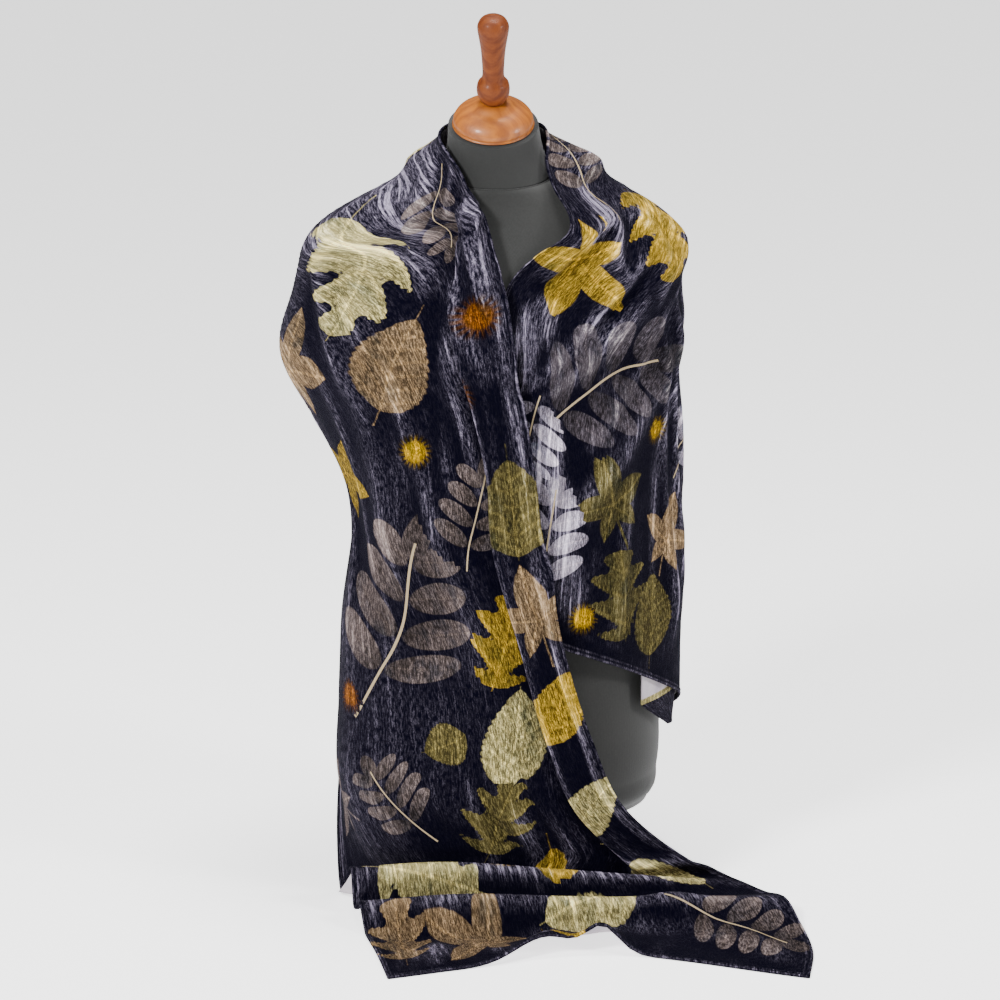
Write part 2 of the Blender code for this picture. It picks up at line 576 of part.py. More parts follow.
def add_scarf():
    """The four stretches of the scarf."""
    velvet = principled("velvet", BLACK_VELVET, 0.8)
    half = CLOTH_SEAM_GAP / 2
    columns = leg_columns(3, 3, 2, 13)
    add_stretch("scarf_floor_end", 0.0, FLOOR_TO_LONG - half, 38, columns, velvet)
    add_stretch("scarf_long_end", FLOOR_TO_LONG + half, LONG_TO_BACK - half, 32, columns, velvet)
    add_stretch("scarf_back", LONG_TO_BACK + half, BACK_TO_SHORT - half, 22, columns, velvet)
    add_stretch("scarf_short_end", BACK_TO_SHORT + half, SHORT_HEM, 24, columns, velvet)


def main():
    """Model the scarf on its form."""
    for obj in list(bpy.data.objects):
        bpy.data.objects.remove(obj, do_unlink=True)
    collection = bpy.data.collections.new("velvet_scarf")
    bpy.context.scene.collection.children.link(collection)
    add_form()
    add_stand()
    add_scarf()


main()
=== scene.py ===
"""A long velvet scarf with a leaf print, worn over a limbless dress form on a low wooden stand.

The scarf is one oblong of cloth. A place on it is given by "along", the metres from the hem that
lies on the floor, and by how far it is from the selvedge beside the neck (inner) towards the
selvedge at the arm (outer). Angles round the form start at the front (-Y) and grow towards +X.
The scarf runs from the floor up the front, past the left side (-90 degrees), round the back
(-180) and down over the right side (-270) to the front again.
"""
import logging
import math
import random
from dataclasses import dataclass, field
from enum import Enum
from typing import Iterable, NamedTuple, Optional, Sequence, Union

import bmesh
import bpy
import numpy as np
from mathutils import Matrix, Vector


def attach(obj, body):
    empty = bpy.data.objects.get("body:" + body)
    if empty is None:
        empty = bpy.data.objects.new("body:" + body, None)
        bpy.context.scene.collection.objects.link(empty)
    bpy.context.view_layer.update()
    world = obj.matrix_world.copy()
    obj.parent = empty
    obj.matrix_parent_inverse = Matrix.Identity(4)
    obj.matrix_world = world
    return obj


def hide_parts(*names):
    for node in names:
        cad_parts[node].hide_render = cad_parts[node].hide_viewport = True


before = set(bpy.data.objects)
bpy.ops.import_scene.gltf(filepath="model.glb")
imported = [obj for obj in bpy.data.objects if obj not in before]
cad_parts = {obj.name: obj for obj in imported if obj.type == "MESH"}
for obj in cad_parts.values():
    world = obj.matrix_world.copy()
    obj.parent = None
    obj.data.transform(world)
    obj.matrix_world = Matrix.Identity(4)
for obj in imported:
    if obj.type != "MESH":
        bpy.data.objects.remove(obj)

log = logging.getLogger("velvet_scarf")

Colour = tuple[float, float, float, float]
Socket = bpy.types.NodeSocket
Value = Union[float, Socket]


SHORTEST = 1e-9
LAST_LEG = 4.999999
BARE_SPOT = (5.0, 5.0)


def smooth_step(low: float, high: float, value: np.ndarray) -> np.ndarray:
    """A soft change from 0 at low to 1 at high."""
    t = np.clip((value - low) / (high - low), 0.0, 1.0)
    return t * t * (3.0 - 2.0 * t)


def unit(rows: np.ndarray) -> np.ndarray:
    """Steps made one long."""
    return rows / np.maximum(np.linalg.norm(rows, axis=-1, keepdims=True), SHORTEST)


def ridge(near: Sequence[np.ndarray], run: tuple[float, float], width: float,
          fade: tuple[float, float]) -> np.ndarray:
    """The share of its height that a soft ridge has at places near it.

    Args:
        near: The places, as steps from the ridge's start.
        run: The ridge, as a step from its start to its end.
        width: How far beside its line it sinks.
        fade: How far past its ends and how far before them it sinks, in shares of its length.

    Returns:
        The shares.
    """
    length = math.hypot(*run)
    part = (near[0] * run[0] + near[1] * run[1]) / length ** 2
    beside = (near[0] * run[1] - near[1] * run[0]) / length
    past, before = fade
    ends = smooth_step(-past, before, part) * (1.0 - smooth_step(1.0 - before, 1.0 + past, part))
    return ends * np.exp(-(beside / width) ** 2)


def hermite(values: np.ndarray, slopes: np.ndarray, i: np.ndarray, gap: np.ndarray,
            t: np.ndarray) -> np.ndarray:
    """A smooth blend between values i and i + 1 of each row.

    Args:
        values: Values at the knots.
        slopes: Slopes at the knots.
        i: Index of the knot before each place, as an index tuple where each row has its own values.
        gap: Distance to the next knot.
        t: Share of that distance, from 0 to 1.

    Returns:
        The blended values.
    """
    after = (*i[:-1], i[-1] + 1) if isinstance(i, tuple) else i + 1
    rise = t * t * (3.0 - 2.0 * t)
    return ((1.0 - rise) * values[i] + rise * values[after]
            + gap * t * (1.0 - t) ** 2 * slopes[i] - gap * t * t * (1.0 - t) * slopes[after])


def curve(knots: Sequence[float], values: np.ndarray, where: np.ndarray) -> np.ndarray:
    """A smooth curve through values at knots.

    Args:
        knots: Rising places of the knots.
        values: A value, or a row of values, for each knot.
        where: The places to read.

    Returns:
        The value or row at each place.
    """
    knots = np.asarray(knots, float)
    values = np.asarray(values, float)
    slopes = np.gradient(values, knots, axis=0)
    i = np.clip(np.searchsorted(knots, where) - 1, 0, len(knots) - 2)
    gap = knots[i + 1] - knots[i]
    t = np.clip((where - knots[i]) / gap, 0.0, 1.0)
    if values.ndim > 1:
        gap, t = gap[..., None], t[..., None]
    return hermite(values, slopes, i, gap, t)


class Ring(NamedTuple):
    """One level outline of the torso."""
    z: float
    half_width: float
    half_depth: float
    centre_x: float
    centre_y: float
    power: float


class StandOff(NamedTuple):
    """How far the cloth stands off the form at a height, by direction."""
    z: float
    front: float
    front_right: float
    right: float
    back_right: float
    back: float
    back_left: float
    left: float
    front_left: float


class Thread(NamedTuple):
    """A cross thread on the form: inner selvedge, middle and outer selvedge, and the pleat."""
    along: float
    in_deg: float
    in_z: float
    mid_deg: float
    mid_z: float
    out_deg: float
    out_z: float
    band: float = 0.026
    tuck: float = 0.0


class Lying(NamedTuple):
    """A cross thread of the free end: four points, and the pleat."""
    along: float
    inner: tuple[float, float, float]
    front: tuple[float, float, float]
    side: tuple[float, float, float]
    outer: tuple[float, float, float]
    band: float
    tuck: float


class Fold(NamedTuple):
    """A soft ridge (or trough) on the form from one place to another."""
    from_deg: float
    from_z: float
    to_deg: float
    to_z: float
    width: float
    height: float


class FloorFold(NamedTuple):
    """A soft ridge (or trough) of the free end, placed by share of the width and along."""
    from_share: float
    from_along: float
    to_share: float
    to_along: float
    width: float
    height: float


class HemWave(NamedTuple):
    """A wave of the lying hem: place, half width, set back and lift."""
    x: float
    half_width: float
    set_back: float
    lift: float


@dataclass
class TorsoShape:
    """The torso and neck as smooth rings, and the leaning neck's axis."""
    seam_centre: Vector = field(default_factory=lambda: Vector((-0.004, 0.004, 0.7655)))
    top_centre: Vector = field(default_factory=lambda: Vector((-0.007, -0.006, 0.8205)))
    seam_radius: float = 0.0600
    seam_tilt: float = math.radians(4.0)
    top_tilt: float = math.radians(20.0)
    foot_z: float = 0.066
    hull_top: float = 0.86
    rings: list[Ring] = field(default_factory=lambda: [
        Ring(0.066, 0.118, 0.074, 0.004, 0.008, 2.1),
        Ring(0.070, 0.142, 0.096, 0.004, 0.008, 2.1),
        Ring(0.083, 0.160, 0.113, 0.004, 0.008, 2.2),
        Ring(0.112, 0.167, 0.122, 0.004, 0.009, 2.2),
        Ring(0.165, 0.169, 0.126, 0.004, 0.010, 2.2),
        Ring(0.240, 0.162, 0.120, 0.004, 0.009, 2.2),
        Ring(0.320, 0.144, 0.106, 0.003, 0.004, 2.2),
        Ring(0.395, 0.130, 0.095, 0.002, 0.000, 2.2),
        Ring(0.470, 0.140, 0.102, 0.001, -0.005, 2.2),
        Ring(0.550, 0.158, 0.121, 0.000, -0.011, 2.2),
        Ring(0.605, 0.166, 0.124, 0.000, -0.008, 2.2),
        Ring(0.650, 0.182, 0.110, 0.000, 0.000, 2.2),
        Ring(0.688, 0.187, 0.092, 0.000, 0.006, 2.1),
        Ring(0.708, 0.177, 0.082, 0.000, 0.009, 2.0),
        Ring(0.725, 0.154, 0.074, -0.001, 0.010, 2.0),
        Ring(0.742, 0.118, 0.067, -0.002, 0.010, 2.0),
        Ring(0.756, 0.080, 0.062, -0.003, 0.007, 2.0),
    ])

    def radius(self, degrees: np.ndarray, z: np.ndarray) -> np.ndarray:
        """Distance from the upright axis to the torso or neck.

        Args:
            degrees: Directions round the form.
            z: Heights.

        Returns:
            The distances.
        """
        rings = np.array(self.rings + [
            Ring(0.775, 0.0560, 0.0560, self.seam_centre.x, 0.002, 2.0),
            Ring(0.800, 0.0500, 0.0500, self.top_centre.x, -0.004, 2.0),
            Ring(self.hull_top, 0.0490, 0.0490, self.top_centre.x, -0.008, 2.0)])
        width, depth, centre_x, centre_y, power = curve(rings[:, 0], rings[:, 1:], z).T
        turn = np.radians(degrees)
        side = np.abs(np.sin(turn)) / width
        front = np.abs(np.cos(turn)) / depth
        oval = (side ** power + front ** power) ** (-1.0 / power)
        return oval + centre_x * np.sin(turn) - centre_y * np.cos(turn)


@dataclass
class Drape:
    """The way the cloth lies: over the form, over itself and on the floor."""
    form: TorsoShape
    width: float = 0.50
    length: float = 1.97
    clearance: float = 0.0024
    touch: float = 0.0018
    layer_gap: float = 0.0042
    least_tuck: float = 0.006
    pleat_opens: float = 0.014
    crossing_lift: float = 0.0050
    crossing_from: float = -34.0
    crossing_full: float = -20.0
    crossing_until: float = 1.10
    crossing_top: tuple[float, float] = (0.70, 0.74)
    collar_pull: float = 0.92
    collar_gap: float = 0.0050
    collar_share: float = 0.15
    collar_from: float = 1.04
    collar_full: float = 1.12
    collar_leaves: float = 1.45
    collar_until: float = 1.52
    lying_z: float = 0.001
    pushed_out: tuple[float, float] = (0.03, 0.07)
    fold_fade: tuple[float, float] = (0.12, 0.22)
    floor_fold_fade: tuple[float, float] = (0.15, 0.25)
    probe: float = 0.004
    wide_probe: float = 0.005
    last_probe: float = 4.9999
    height_steps: int = 160
    direction_step: float = 5.0
    free_full: float = 0.56
    free_none: float = 0.70
    hem_wave_reach: float = 0.13
    lying_stations: tuple[float, ...] = (0.0, 0.38, 0.70, 1.0)
    directions: tuple[float, ...] = (0.0, 45.0, 90.0, 135.0, 180.0, 225.0, 270.0, 315.0, 360.0)
    stand_offs: list[StandOff] = field(default_factory=lambda: [
        StandOff(0.060, 0.006, 0.012, 0.004, 0.012, 0.006, -0.004, -0.021, 0.008),
        StandOff(0.200, 0.005, 0.010, 0.004, 0.012, 0.006, -0.004, -0.021, 0.008),
        StandOff(0.450, 0.002, 0.006, -0.007, 0.010, 0.005, 0.000, -0.020, 0.008),
        StandOff(0.500, 0.001, 0.005, -0.006, 0.010, 0.006, 0.008, 0.004, 0.012),
        StandOff(0.575, 0.000, 0.003, -0.006, 0.010, 0.007, 0.020, 0.042, 0.018),
        StandOff(0.650, 0.000, 0.002, -0.003, 0.008, 0.001, 0.012, 0.026, 0.010),
        StandOff(0.690, 0.002, 0.005, 0.006, 0.006, 0.000, 0.008, 0.018, 0.006),
        StandOff(0.712, 0.004, 0.011, 0.011, 0.008, 0.001, 0.007, 0.016, 0.006),
        StandOff(0.735, 0.005, 0.017, 0.023, 0.014, 0.004, 0.009, 0.018, 0.007),
        StandOff(0.757, 0.006, 0.014, 0.038, 0.026, 0.008, 0.014, 0.028, 0.008),
        StandOff(0.778, 0.006, 0.010, 0.050, 0.034, 0.010, 0.018, 0.036, 0.008),
        StandOff(0.800, 0.006, 0.008, 0.042, 0.032, 0.010, 0.014, 0.024, 0.008),
        StandOff(0.832, 0.006, 0.008, 0.014, 0.014, 0.008, 0.008, 0.008, 0.008),
    ])
    threads: list[Thread] = field(default_factory=lambda: [
        Thread(0.500, 27.0, 0.220, -46.0, 0.215, -118.0, 0.215, 0.056, 0.036),
        Thread(0.585, 23.0, 0.300, -50.0, 0.300, -124.0, 0.300, 0.058, 0.038),
        Thread(0.685, 18.0, 0.395, -54.0, 0.400, -126.0, 0.385, 0.058, 0.038),
        Thread(0.765, 14.0, 0.475, -56.0, 0.475, -128.0, 0.440, 0.058, 0.038),
        Thread(0.840, 10.0, 0.552, -62.0, 0.538, -131.0, 0.460, 0.060, 0.038),
        Thread(0.900, 6.0, 0.613, -71.0, 0.586, -136.0, 0.462, 0.062, 0.036),
        Thread(0.960, 2.0, 0.669, -81.0, 0.618, -142.0, 0.450, 0.058, 0.030),
        Thread(1.000, -5.0, 0.706, -89.0, 0.634, -147.0, 0.434, 0.050, 0.022),
        Thread(1.035, -14.0, 0.735, -97.0, 0.644, -151.0, 0.418, 0.042, 0.010),
        Thread(1.065, -28.0, 0.763, -107.0, 0.652, -155.0, 0.402, 0.034, 0.0),
        Thread(1.100, -50.0, 0.791, -118.0, 0.657, -160.0, 0.385, 0.028, 0.0),
        Thread(1.145, -86.0, 0.809, -134.0, 0.657, -166.0, 0.367),
        Thread(1.200, -135.0, 0.816, -156.0, 0.648, -174.0, 0.352),
        Thread(1.260, -180.0, 0.817, -180.0, 0.636, -184.0, 0.342),
        Thread(1.330, -225.0, 0.816, -206.0, 0.636, -197.0, 0.342),
        Thread(1.390, -262.0, 0.813, -231.0, 0.646, -208.0, 0.342),
        Thread(1.440, -290.0, 0.797, -251.0, 0.650, -217.0, 0.337),
        Thread(1.480, -307.0, 0.770, -265.0, 0.636, -223.0, 0.327),
        Thread(1.530, -319.0, 0.722, -276.0, 0.604, -228.0, 0.312),
        Thread(1.570, -338.0, 0.698, -286.0, 0.578, -232.0, 0.300),
        Thread(1.620, -356.0, 0.667, -296.0, 0.548, -235.0, 0.286),
        Thread(1.680, -362.0, 0.610, -300.0, 0.500, -237.0, 0.268),
        Thread(1.780, -365.0, 0.505, -303.0, 0.420, -239.0, 0.232),
        Thread(1.880, -367.0, 0.405, -305.0, 0.338, -241.0, 0.190),
        Thread(1.970, -368.0, 0.316, -307.0, 0.254, -244.0, 0.134),
    ])
    lying: list[Lying] = field(default_factory=lambda: [
        Lying(0.000, (0.316, -0.333, 0.001), (0.112, -0.272, 0.001), (-0.010, -0.302, 0.001),
              (-0.114, -0.335, 0.001), 0.110, 0.0),
        Lying(0.070, (0.324, -0.262, 0.001), (0.104, -0.250, 0.004), (-0.020, -0.266, 0.002),
              (-0.127, -0.272, 0.001), 0.106, 0.0),
        Lying(0.130, (0.316, -0.198, 0.004), (0.098, -0.234, 0.014), (-0.030, -0.238, 0.010),
              (-0.140, -0.222, 0.001), 0.100, 0.0),
        Lying(0.170, (0.302, -0.162, 0.018), (0.090, -0.213, 0.040), (-0.040, -0.208, 0.041),
              (-0.148, -0.188, 0.024), 0.096, 0.0),
        Lying(0.205, (0.285, -0.138, 0.014), (0.080, -0.197, 0.024), (-0.046, -0.190, 0.019),
              (-0.154, -0.168, 0.010), 0.090, 0.0),
        Lying(0.250, (0.262, -0.126, 0.020), (0.066, -0.179, 0.057), (-0.055, -0.171, 0.062),
              (-0.158, -0.146, 0.046), 0.084, 0.0),
        Lying(0.300, (0.232, -0.124, 0.034), (0.048, -0.158, 0.024), (-0.068, -0.147, 0.015),
              (-0.171, -0.096, 0.001), 0.074, 0.0),
        Lying(0.345, (0.190, -0.127, 0.058), (0.022, -0.150, 0.058), (-0.120, -0.127, 0.052),
              (-0.176, -0.040, 0.044), 0.066, 0.012),
        Lying(0.405, (0.132, -0.138, 0.112), (-0.016, -0.158, 0.116), (-0.158, -0.104, 0.112),
              (-0.174, 0.020, 0.108), 0.060, 0.024),
        Lying(0.485, (0.096, -0.147, 0.192), (-0.038, -0.160, 0.198), (-0.164, -0.088, 0.198),
              (-0.166, 0.070, 0.196), 0.056, 0.036),
        Lying(0.585, (0.064, -0.150, 0.300), (-0.052, -0.158, 0.300), (-0.166, -0.080, 0.300),
              (-0.140, 0.098, 0.300), 0.058, 0.038),
        Lying(0.720, (0.046, -0.152, 0.430), (-0.062, -0.156, 0.432), (-0.166, -0.078, 0.432),
              (-0.128, 0.112, 0.430), 0.058, 0.038),
    ])
    folds: list[Fold] = field(default_factory=lambda: [
        Fold(64.0, 0.744, 22.0, 0.678, 0.016, 0.011),
        Fold(88.0, 0.700, 14.0, 0.560, 0.019, 0.010),
        Fold(74.0, 0.665, 12.0, 0.600, 0.016, -0.004),
        Fold(98.0, 0.640, 30.0, 0.430, 0.022, 0.008),
        Fold(104.0, 0.560, 76.0, 0.260, 0.024, 0.008),
        Fold(128.0, 0.520, 112.0, 0.180, 0.024, 0.010),
        Fold(-34.0, 0.740, -28.0, 0.480, 0.018, -0.004),
        Fold(-60.0, 0.690, -44.0, 0.300, 0.024, 0.006),
        Fold(-92.0, 0.690, -74.0, 0.400, 0.026, -0.006),
        Fold(-112.0, 0.660, -104.0, 0.240, 0.026, 0.011),
        Fold(-132.0, 0.760, -166.0, 0.540, 0.026, 0.014),
        Fold(-228.0, 0.760, -194.0, 0.540, 0.026, 0.014),
        Fold(-144.0, 0.650, -180.0, 0.455, 0.026, 0.013),
        Fold(-216.0, 0.650, -184.0, 0.455, 0.026, 0.013),
        Fold(-160.0, 0.500, -186.0, 0.390, 0.022, 0.010),
    ])
    fine_folds: list[Fold] = field(default_factory=lambda: [
        Fold(-72.0, 0.795, -30.0, 0.640, 0.008, 0.0060),
        Fold(-60.0, 0.790, -20.0, 0.665, 0.006, -0.0030),
        Fold(-52.0, 0.795, -12.0, 0.610, 0.006, 0.0050),
        Fold(-34.0, 0.785, -4.0, 0.640, 0.005, 0.0040),
        Fold(-90.0, 0.765, -52.0, 0.540, 0.009, 0.0055),
        Fold(-80.0, 0.740, -60.0, 0.600, 0.007, -0.0030),
        Fold(-24.0, 0.640, -4.0, 0.430, 0.008, 0.0045),
        Fold(-44.0, 0.600, -18.0, 0.340, 0.010, 0.0045),
        Fold(-66.0, 0.560, -56.0, 0.280, 0.011, 0.0050),
        Fold(-84.0, 0.620, -74.0, 0.220, 0.010, 0.0055),
        Fold(-104.0, 0.720, -92.0, 0.460, 0.010, 0.0060),
        Fold(66.0, 0.748, 20.0, 0.676, 0.006, 0.0085),
        Fold(60.0, 0.728, 22.0, 0.662, 0.005, -0.0060),
        Fold(64.0, 0.745, 54.0, 0.660, 0.007, 0.0065),
        Fold(76.0, 0.735, 70.0, 0.640, 0.008, 0.0050),
        Fold(24.0, 0.668, 10.0, 0.575, 0.009, 0.0070),
        Fold(74.0, 0.706, 11.0, 0.572, 0.007, 0.0065),
        Fold(70.0, 0.682, 20.0, 0.578, 0.006, -0.0035),
        Fold(84.0, 0.660, 36.0, 0.500, 0.010, 0.0050),
        Fold(74.0, 0.620, 80.0, 0.270, 0.007, 0.0045),
        Fold(83.0, 0.660, 88.0, 0.240, 0.007, 0.0050),
        Fold(92.0, 0.680, 95.0, 0.260, 0.008, 0.0050),
        Fold(56.0, 0.480, 48.0, 0.290, 0.011, 0.0045),
        Fold(24.0, 0.500, 14.0, 0.330, 0.010, 0.0040),
        Fold(118.0, 0.660, 98.0, 0.420, 0.011, 0.0055),
        Fold(-150.0, 0.760, -172.0, 0.600, 0.011, 0.0060),
        Fold(-210.0, 0.760, -188.0, 0.600, 0.011, 0.0060),
        Fold(-120.0, 0.620, -150.0, 0.470, 0.011, 0.0055),
        Fold(-236.0, 0.620, -206.0, 0.470, 0.011, 0.0055),
        Fold(-128.0, 0.520, -160.0, 0.410, 0.011, 0.0050),
        Fold(-100.0, 0.800, -118.0, 0.700, 0.008, 0.0050),
        Fold(-262.0, 0.800, -244.0, 0.700, 0.008, 0.0050),
        Fold(-140.0, 0.810, -146.0, 0.700, 0.009, 0.0045),
        Fold(-196.0, 0.810, -198.0, 0.690, 0.009, 0.0045),
    ])
    floor_folds: list[FloorFold] = field(default_factory=lambda: [
        FloorFold(0.30, 0.010, 0.34, 0.140, 0.030, 0.0045),
        FloorFold(0.52, 0.000, 0.46, 0.130, 0.026, 0.0050),
        FloorFold(0.66, 0.020, 0.72, 0.120, 0.022, 0.0040),
        FloorFold(0.86, 0.010, 0.80, 0.110, 0.020, 0.0045),
        FloorFold(0.14, 0.060, 0.22, 0.200, 0.024, 0.0060),
        FloorFold(0.06, 0.020, 0.12, 0.150, 0.016, 0.0045),
        FloorFold(0.24, 0.500, 0.28, 0.320, 0.009, 0.0070),
        FloorFold(0.15, 0.470, 0.19, 0.320, 0.008, 0.0065),
        FloorFold(0.36, 0.520, 0.38, 0.330, 0.010, 0.0060),
        FloorFold(0.54, 0.540, 0.50, 0.330, 0.014, 0.0055),
        FloorFold(0.68, 0.560, 0.66, 0.330, 0.012, 0.0060),
        FloorFold(0.82, 0.560, 0.84, 0.310, 0.013, 0.0060),
    ])
    hem_waves: list[HemWave] = field(default_factory=lambda: [
        HemWave(0.044, 0.040, 0.004, 0.022),
        HemWave(0.106, 0.024, 0.002, 0.030),
    ])

    def __post_init__(self) -> None:
        """Reads the hanging cloth's radius once, on a grid of heights and directions."""
        self.heights = np.linspace(0.0, self.form.hull_top, self.height_steps)
        self.degrees = np.arange(0.0, 361.0, self.direction_step)
        z_grid, deg_grid = np.meshgrid(self.heights, self.degrees, indexing="ij")
        bare = self.form.radius(deg_grid.ravel(), np.maximum(z_grid.ravel(), self.form.foot_z))
        bare = bare.reshape(z_grid.shape)
        widest = np.maximum.accumulate(bare[::-1], axis=0)[::-1]
        offs = np.array(self.stand_offs)
        away = curve(offs[:, 0], offs[:, 1:], self.heights)
        away = np.concatenate([away, away[:, :1]], axis=1)
        around = curve(self.directions, away.T, self.degrees).T
        self.radii = np.maximum(widest + around, bare) + self.clearance
        self.least = bare + self.touch

    def hang_radius(self, degrees: np.ndarray, z: np.ndarray) -> np.ndarray:
        """Radius of the innermost layer of hanging cloth, before its folds."""
        return self.read(self.radii, degrees, z)

    def read(self, table: np.ndarray, degrees: np.ndarray, z: np.ndarray) -> np.ndarray:
        """Reads a table of radii.

        Args:
            table: Radii by height and direction.
            degrees: Directions round the form.
            z: Heights.

        Returns:
            The radii there.
        """
        row = np.clip(z / self.form.hull_top, 0.0, 1.0) * (len(self.heights) - 1)
        column = np.mod(degrees, 360.0) / self.direction_step
        r0 = np.clip(row.astype(int), 0, len(self.heights) - 2)
        c0 = np.clip(column.astype(int), 0, len(self.degrees) - 2)
        fr, fc = row - r0, column - c0
        low = table[r0, c0] * (1 - fc) + table[r0, c0 + 1] * fc
        high = table[r0 + 1, c0] * (1 - fc) + table[r0 + 1, c0 + 1] * fc
        return low * (1 - fr) + high * fr

    def fold_height(self, degrees: np.ndarray, z: np.ndarray) -> np.ndarray:
        """Height of the large and fine folds at places on the form.

        Args:
            degrees: Directions round the form.
            z: Heights.

        Returns:
            The heights over the hanging cloth.
        """
        total = np.zeros_like(z)
        for fold in self.folds + self.fine_folds:
            middle = self.hang_radius(np.array([(fold.from_deg + fold.to_deg) / 2]),
                                      np.array([(fold.from_z + fold.to_z) / 2]))[0]
            scale = math.radians(1.0) * middle
            off = np.mod(degrees - fold.from_deg + 180.0, 360.0) - 180.0
            run = ((fold.to_deg - fold.from_deg) * scale, fold.to_z - fold.from_z)
            near = (off * scale, z - fold.from_z)
            total += fold.height * ridge(near, run, fold.width, self.fold_fade)
        return total

    def worn_point(self, share: np.ndarray, along: np.ndarray) -> np.ndarray:
        """Points of the base layer where it lies on the form.

        Args:
            share: Shares of the base layer's width, 0 at the inner selvedge.
            along: Places along the scarf.

        Returns:
            The points, a row each.
        """
        rows = np.array(self.threads)
        mid = curve(rows[:, 0], rows[:, 1:7], along)
        first = (1 - share) * (1 - 2 * share)
        second = 4 * share * (1 - share)
        third = share * (2 * share - 1)
        weights = np.stack([first, second, third], axis=1)[:, :, None]
        degrees, z = (mid.reshape(-1, 3, 2) * weights).sum(axis=1).T
        crossing = (smooth_step(self.crossing_from, self.crossing_full, degrees)
                    * (1.0 - smooth_step(*self.crossing_top, z)) * (along < self.crossing_until))
        radius = self.hang_radius(degrees, z) + self.fold_height(degrees, z)
        radius = np.maximum(radius, self.read(self.least, degrees, z))
        radius += self.crossing_lift * crossing
        turn = np.radians(degrees)
        return np.stack([radius * np.sin(turn), -radius * np.cos(turn), z], axis=1)

    def lying_point(self, share: np.ndarray, along: np.ndarray) -> np.ndarray:
        """Points of the base layer where it hangs free or lies on the floor.

        Args:
            share: Shares of the base layer's width, 0 at the inner selvedge.
            along: Places along the scarf.

        Returns:
            The points, a row each.
        """
        knots = [row.along for row in self.lying]
        stations = np.array([[row.inner, row.front, row.side, row.outer] for row in self.lying])
        four = curve(knots, stations.reshape(len(knots), -1), along).reshape(-1, 4, 3)
        marks = np.array(self.lying_stations)
        slopes = np.gradient(four, marks, axis=1)
        i = np.clip(np.searchsorted(marks, share) - 1, 0, len(marks) - 2)
        gap = (marks[i + 1] - marks[i])[:, None]
        t = np.clip((share[:, None] - marks[i][:, None]) / gap, 0.0, 1.0)
        points = hermite(four, slopes, (np.arange(len(share)), i), gap, t)
        near_hem = 1.0 - smooth_step(0.0, self.hem_wave_reach, along)
        for wave in self.hem_waves:
            bump = np.exp(-((points[:, 0] - wave.x) / wave.half_width) ** 2) * near_hem
            points[:, 1] += wave.set_back * bump
            points[:, 2] += wave.lift * bump
        points[:, 2] += self.floor_height(share, along) * (along < self.free_none)
        return points

    def floor_height(self, share: np.ndarray, along: np.ndarray) -> np.ndarray:
        """Lift of the small folds of the free end.

        Args:
            share: Shares of the base layer's width.
            along: Places along the scarf.

        Returns:
            The lifts.
        """
        total = np.zeros_like(share)
        for fold in self.floor_folds:
            run = ((fold.to_share - fold.from_share) * self.width, fold.to_along - fold.from_along)
            near = ((share - fold.from_share) * self.width, along - fold.from_along)
            total += fold.height * ridge(near, run, fold.width, self.floor_fold_fade)
        return total

    def base_point(self, share: np.ndarray, along: np.ndarray) -> np.ndarray:
        """Points of the base layer, its worn part and its lying part made into one.

        Args:
            share: Shares of the base layer's width, 0 at the inner selvedge.
            along: Places along the scarf.

        Returns:
            The points, a row each.
        """
        worn = self.worn_point(share, along)
        free = self.lying_point(share, np.minimum(along, self.lying[-1].along))
        mix = smooth_step(self.free_full, self.free_none, along)[:, None]
        points = free * (1 - mix) + worn * mix
        radius = np.hypot(points[:, 0], points[:, 1])
        degrees = np.degrees(np.arctan2(points[:, 0], -points[:, 1]))
        least = self.hang_radius(degrees, points[:, 2]) * smooth_step(*self.pushed_out, points[:, 2])
        pushed = np.maximum(radius, least)
        drawn_in = (self.collar_pull * (1.0 - smooth_step(0.0, self.collar_share, share))
                    * smooth_step(self.collar_from, self.collar_full, along)
                    * (1.0 - smooth_step(self.collar_leaves, self.collar_until, along)))
        against_neck = self.form.radius(degrees, points[:, 2]) + self.collar_gap
        pushed += np.minimum(against_neck - pushed, 0.0) * drawn_in
        points[:, :2] *= (pushed / np.maximum(radius, SHORTEST))[:, None]
        points[:, 2] = np.maximum(points[:, 2], self.lying_z)
        return points

    def band_and_tuck(self, along: np.ndarray) -> np.ndarray:
        """Widths of the laid-over band and of its tuck at places along the scarf."""
        low = np.array([(row.along, row.band, row.tuck) for row in self.lying[:-1]])
        high = np.array([(row.along, row.band, row.tuck) for row in self.threads[2:]])
        rows = np.concatenate([low, high])
        return curve(rows[:, 0], rows[:, 1:], along).T

    def pleat_starts(self, along: np.ndarray) -> tuple[np.ndarray, np.ndarray, np.ndarray]:
        """Where each leg of the pleat begins in the flat cloth.

        Args:
            along: Places along the scarf.

        Returns:
            The starts of the five legs and the end, the folds' angle and the tuck's width.
        """
        band, tuck = self.band_and_tuck(along)
        turn = np.maximum(math.pi * smooth_step(0.0, self.pleat_opens, tuck), 0.001)
        tuck = np.maximum(tuck, self.least_tuck)
        bend = math.pi * self.layer_gap / 2
        starts = np.stack([np.zeros_like(band), band, band + bend, band + bend + tuck,
                           band + 2 * bend + tuck, np.full_like(band, self.width)])
        return starts, turn, tuck

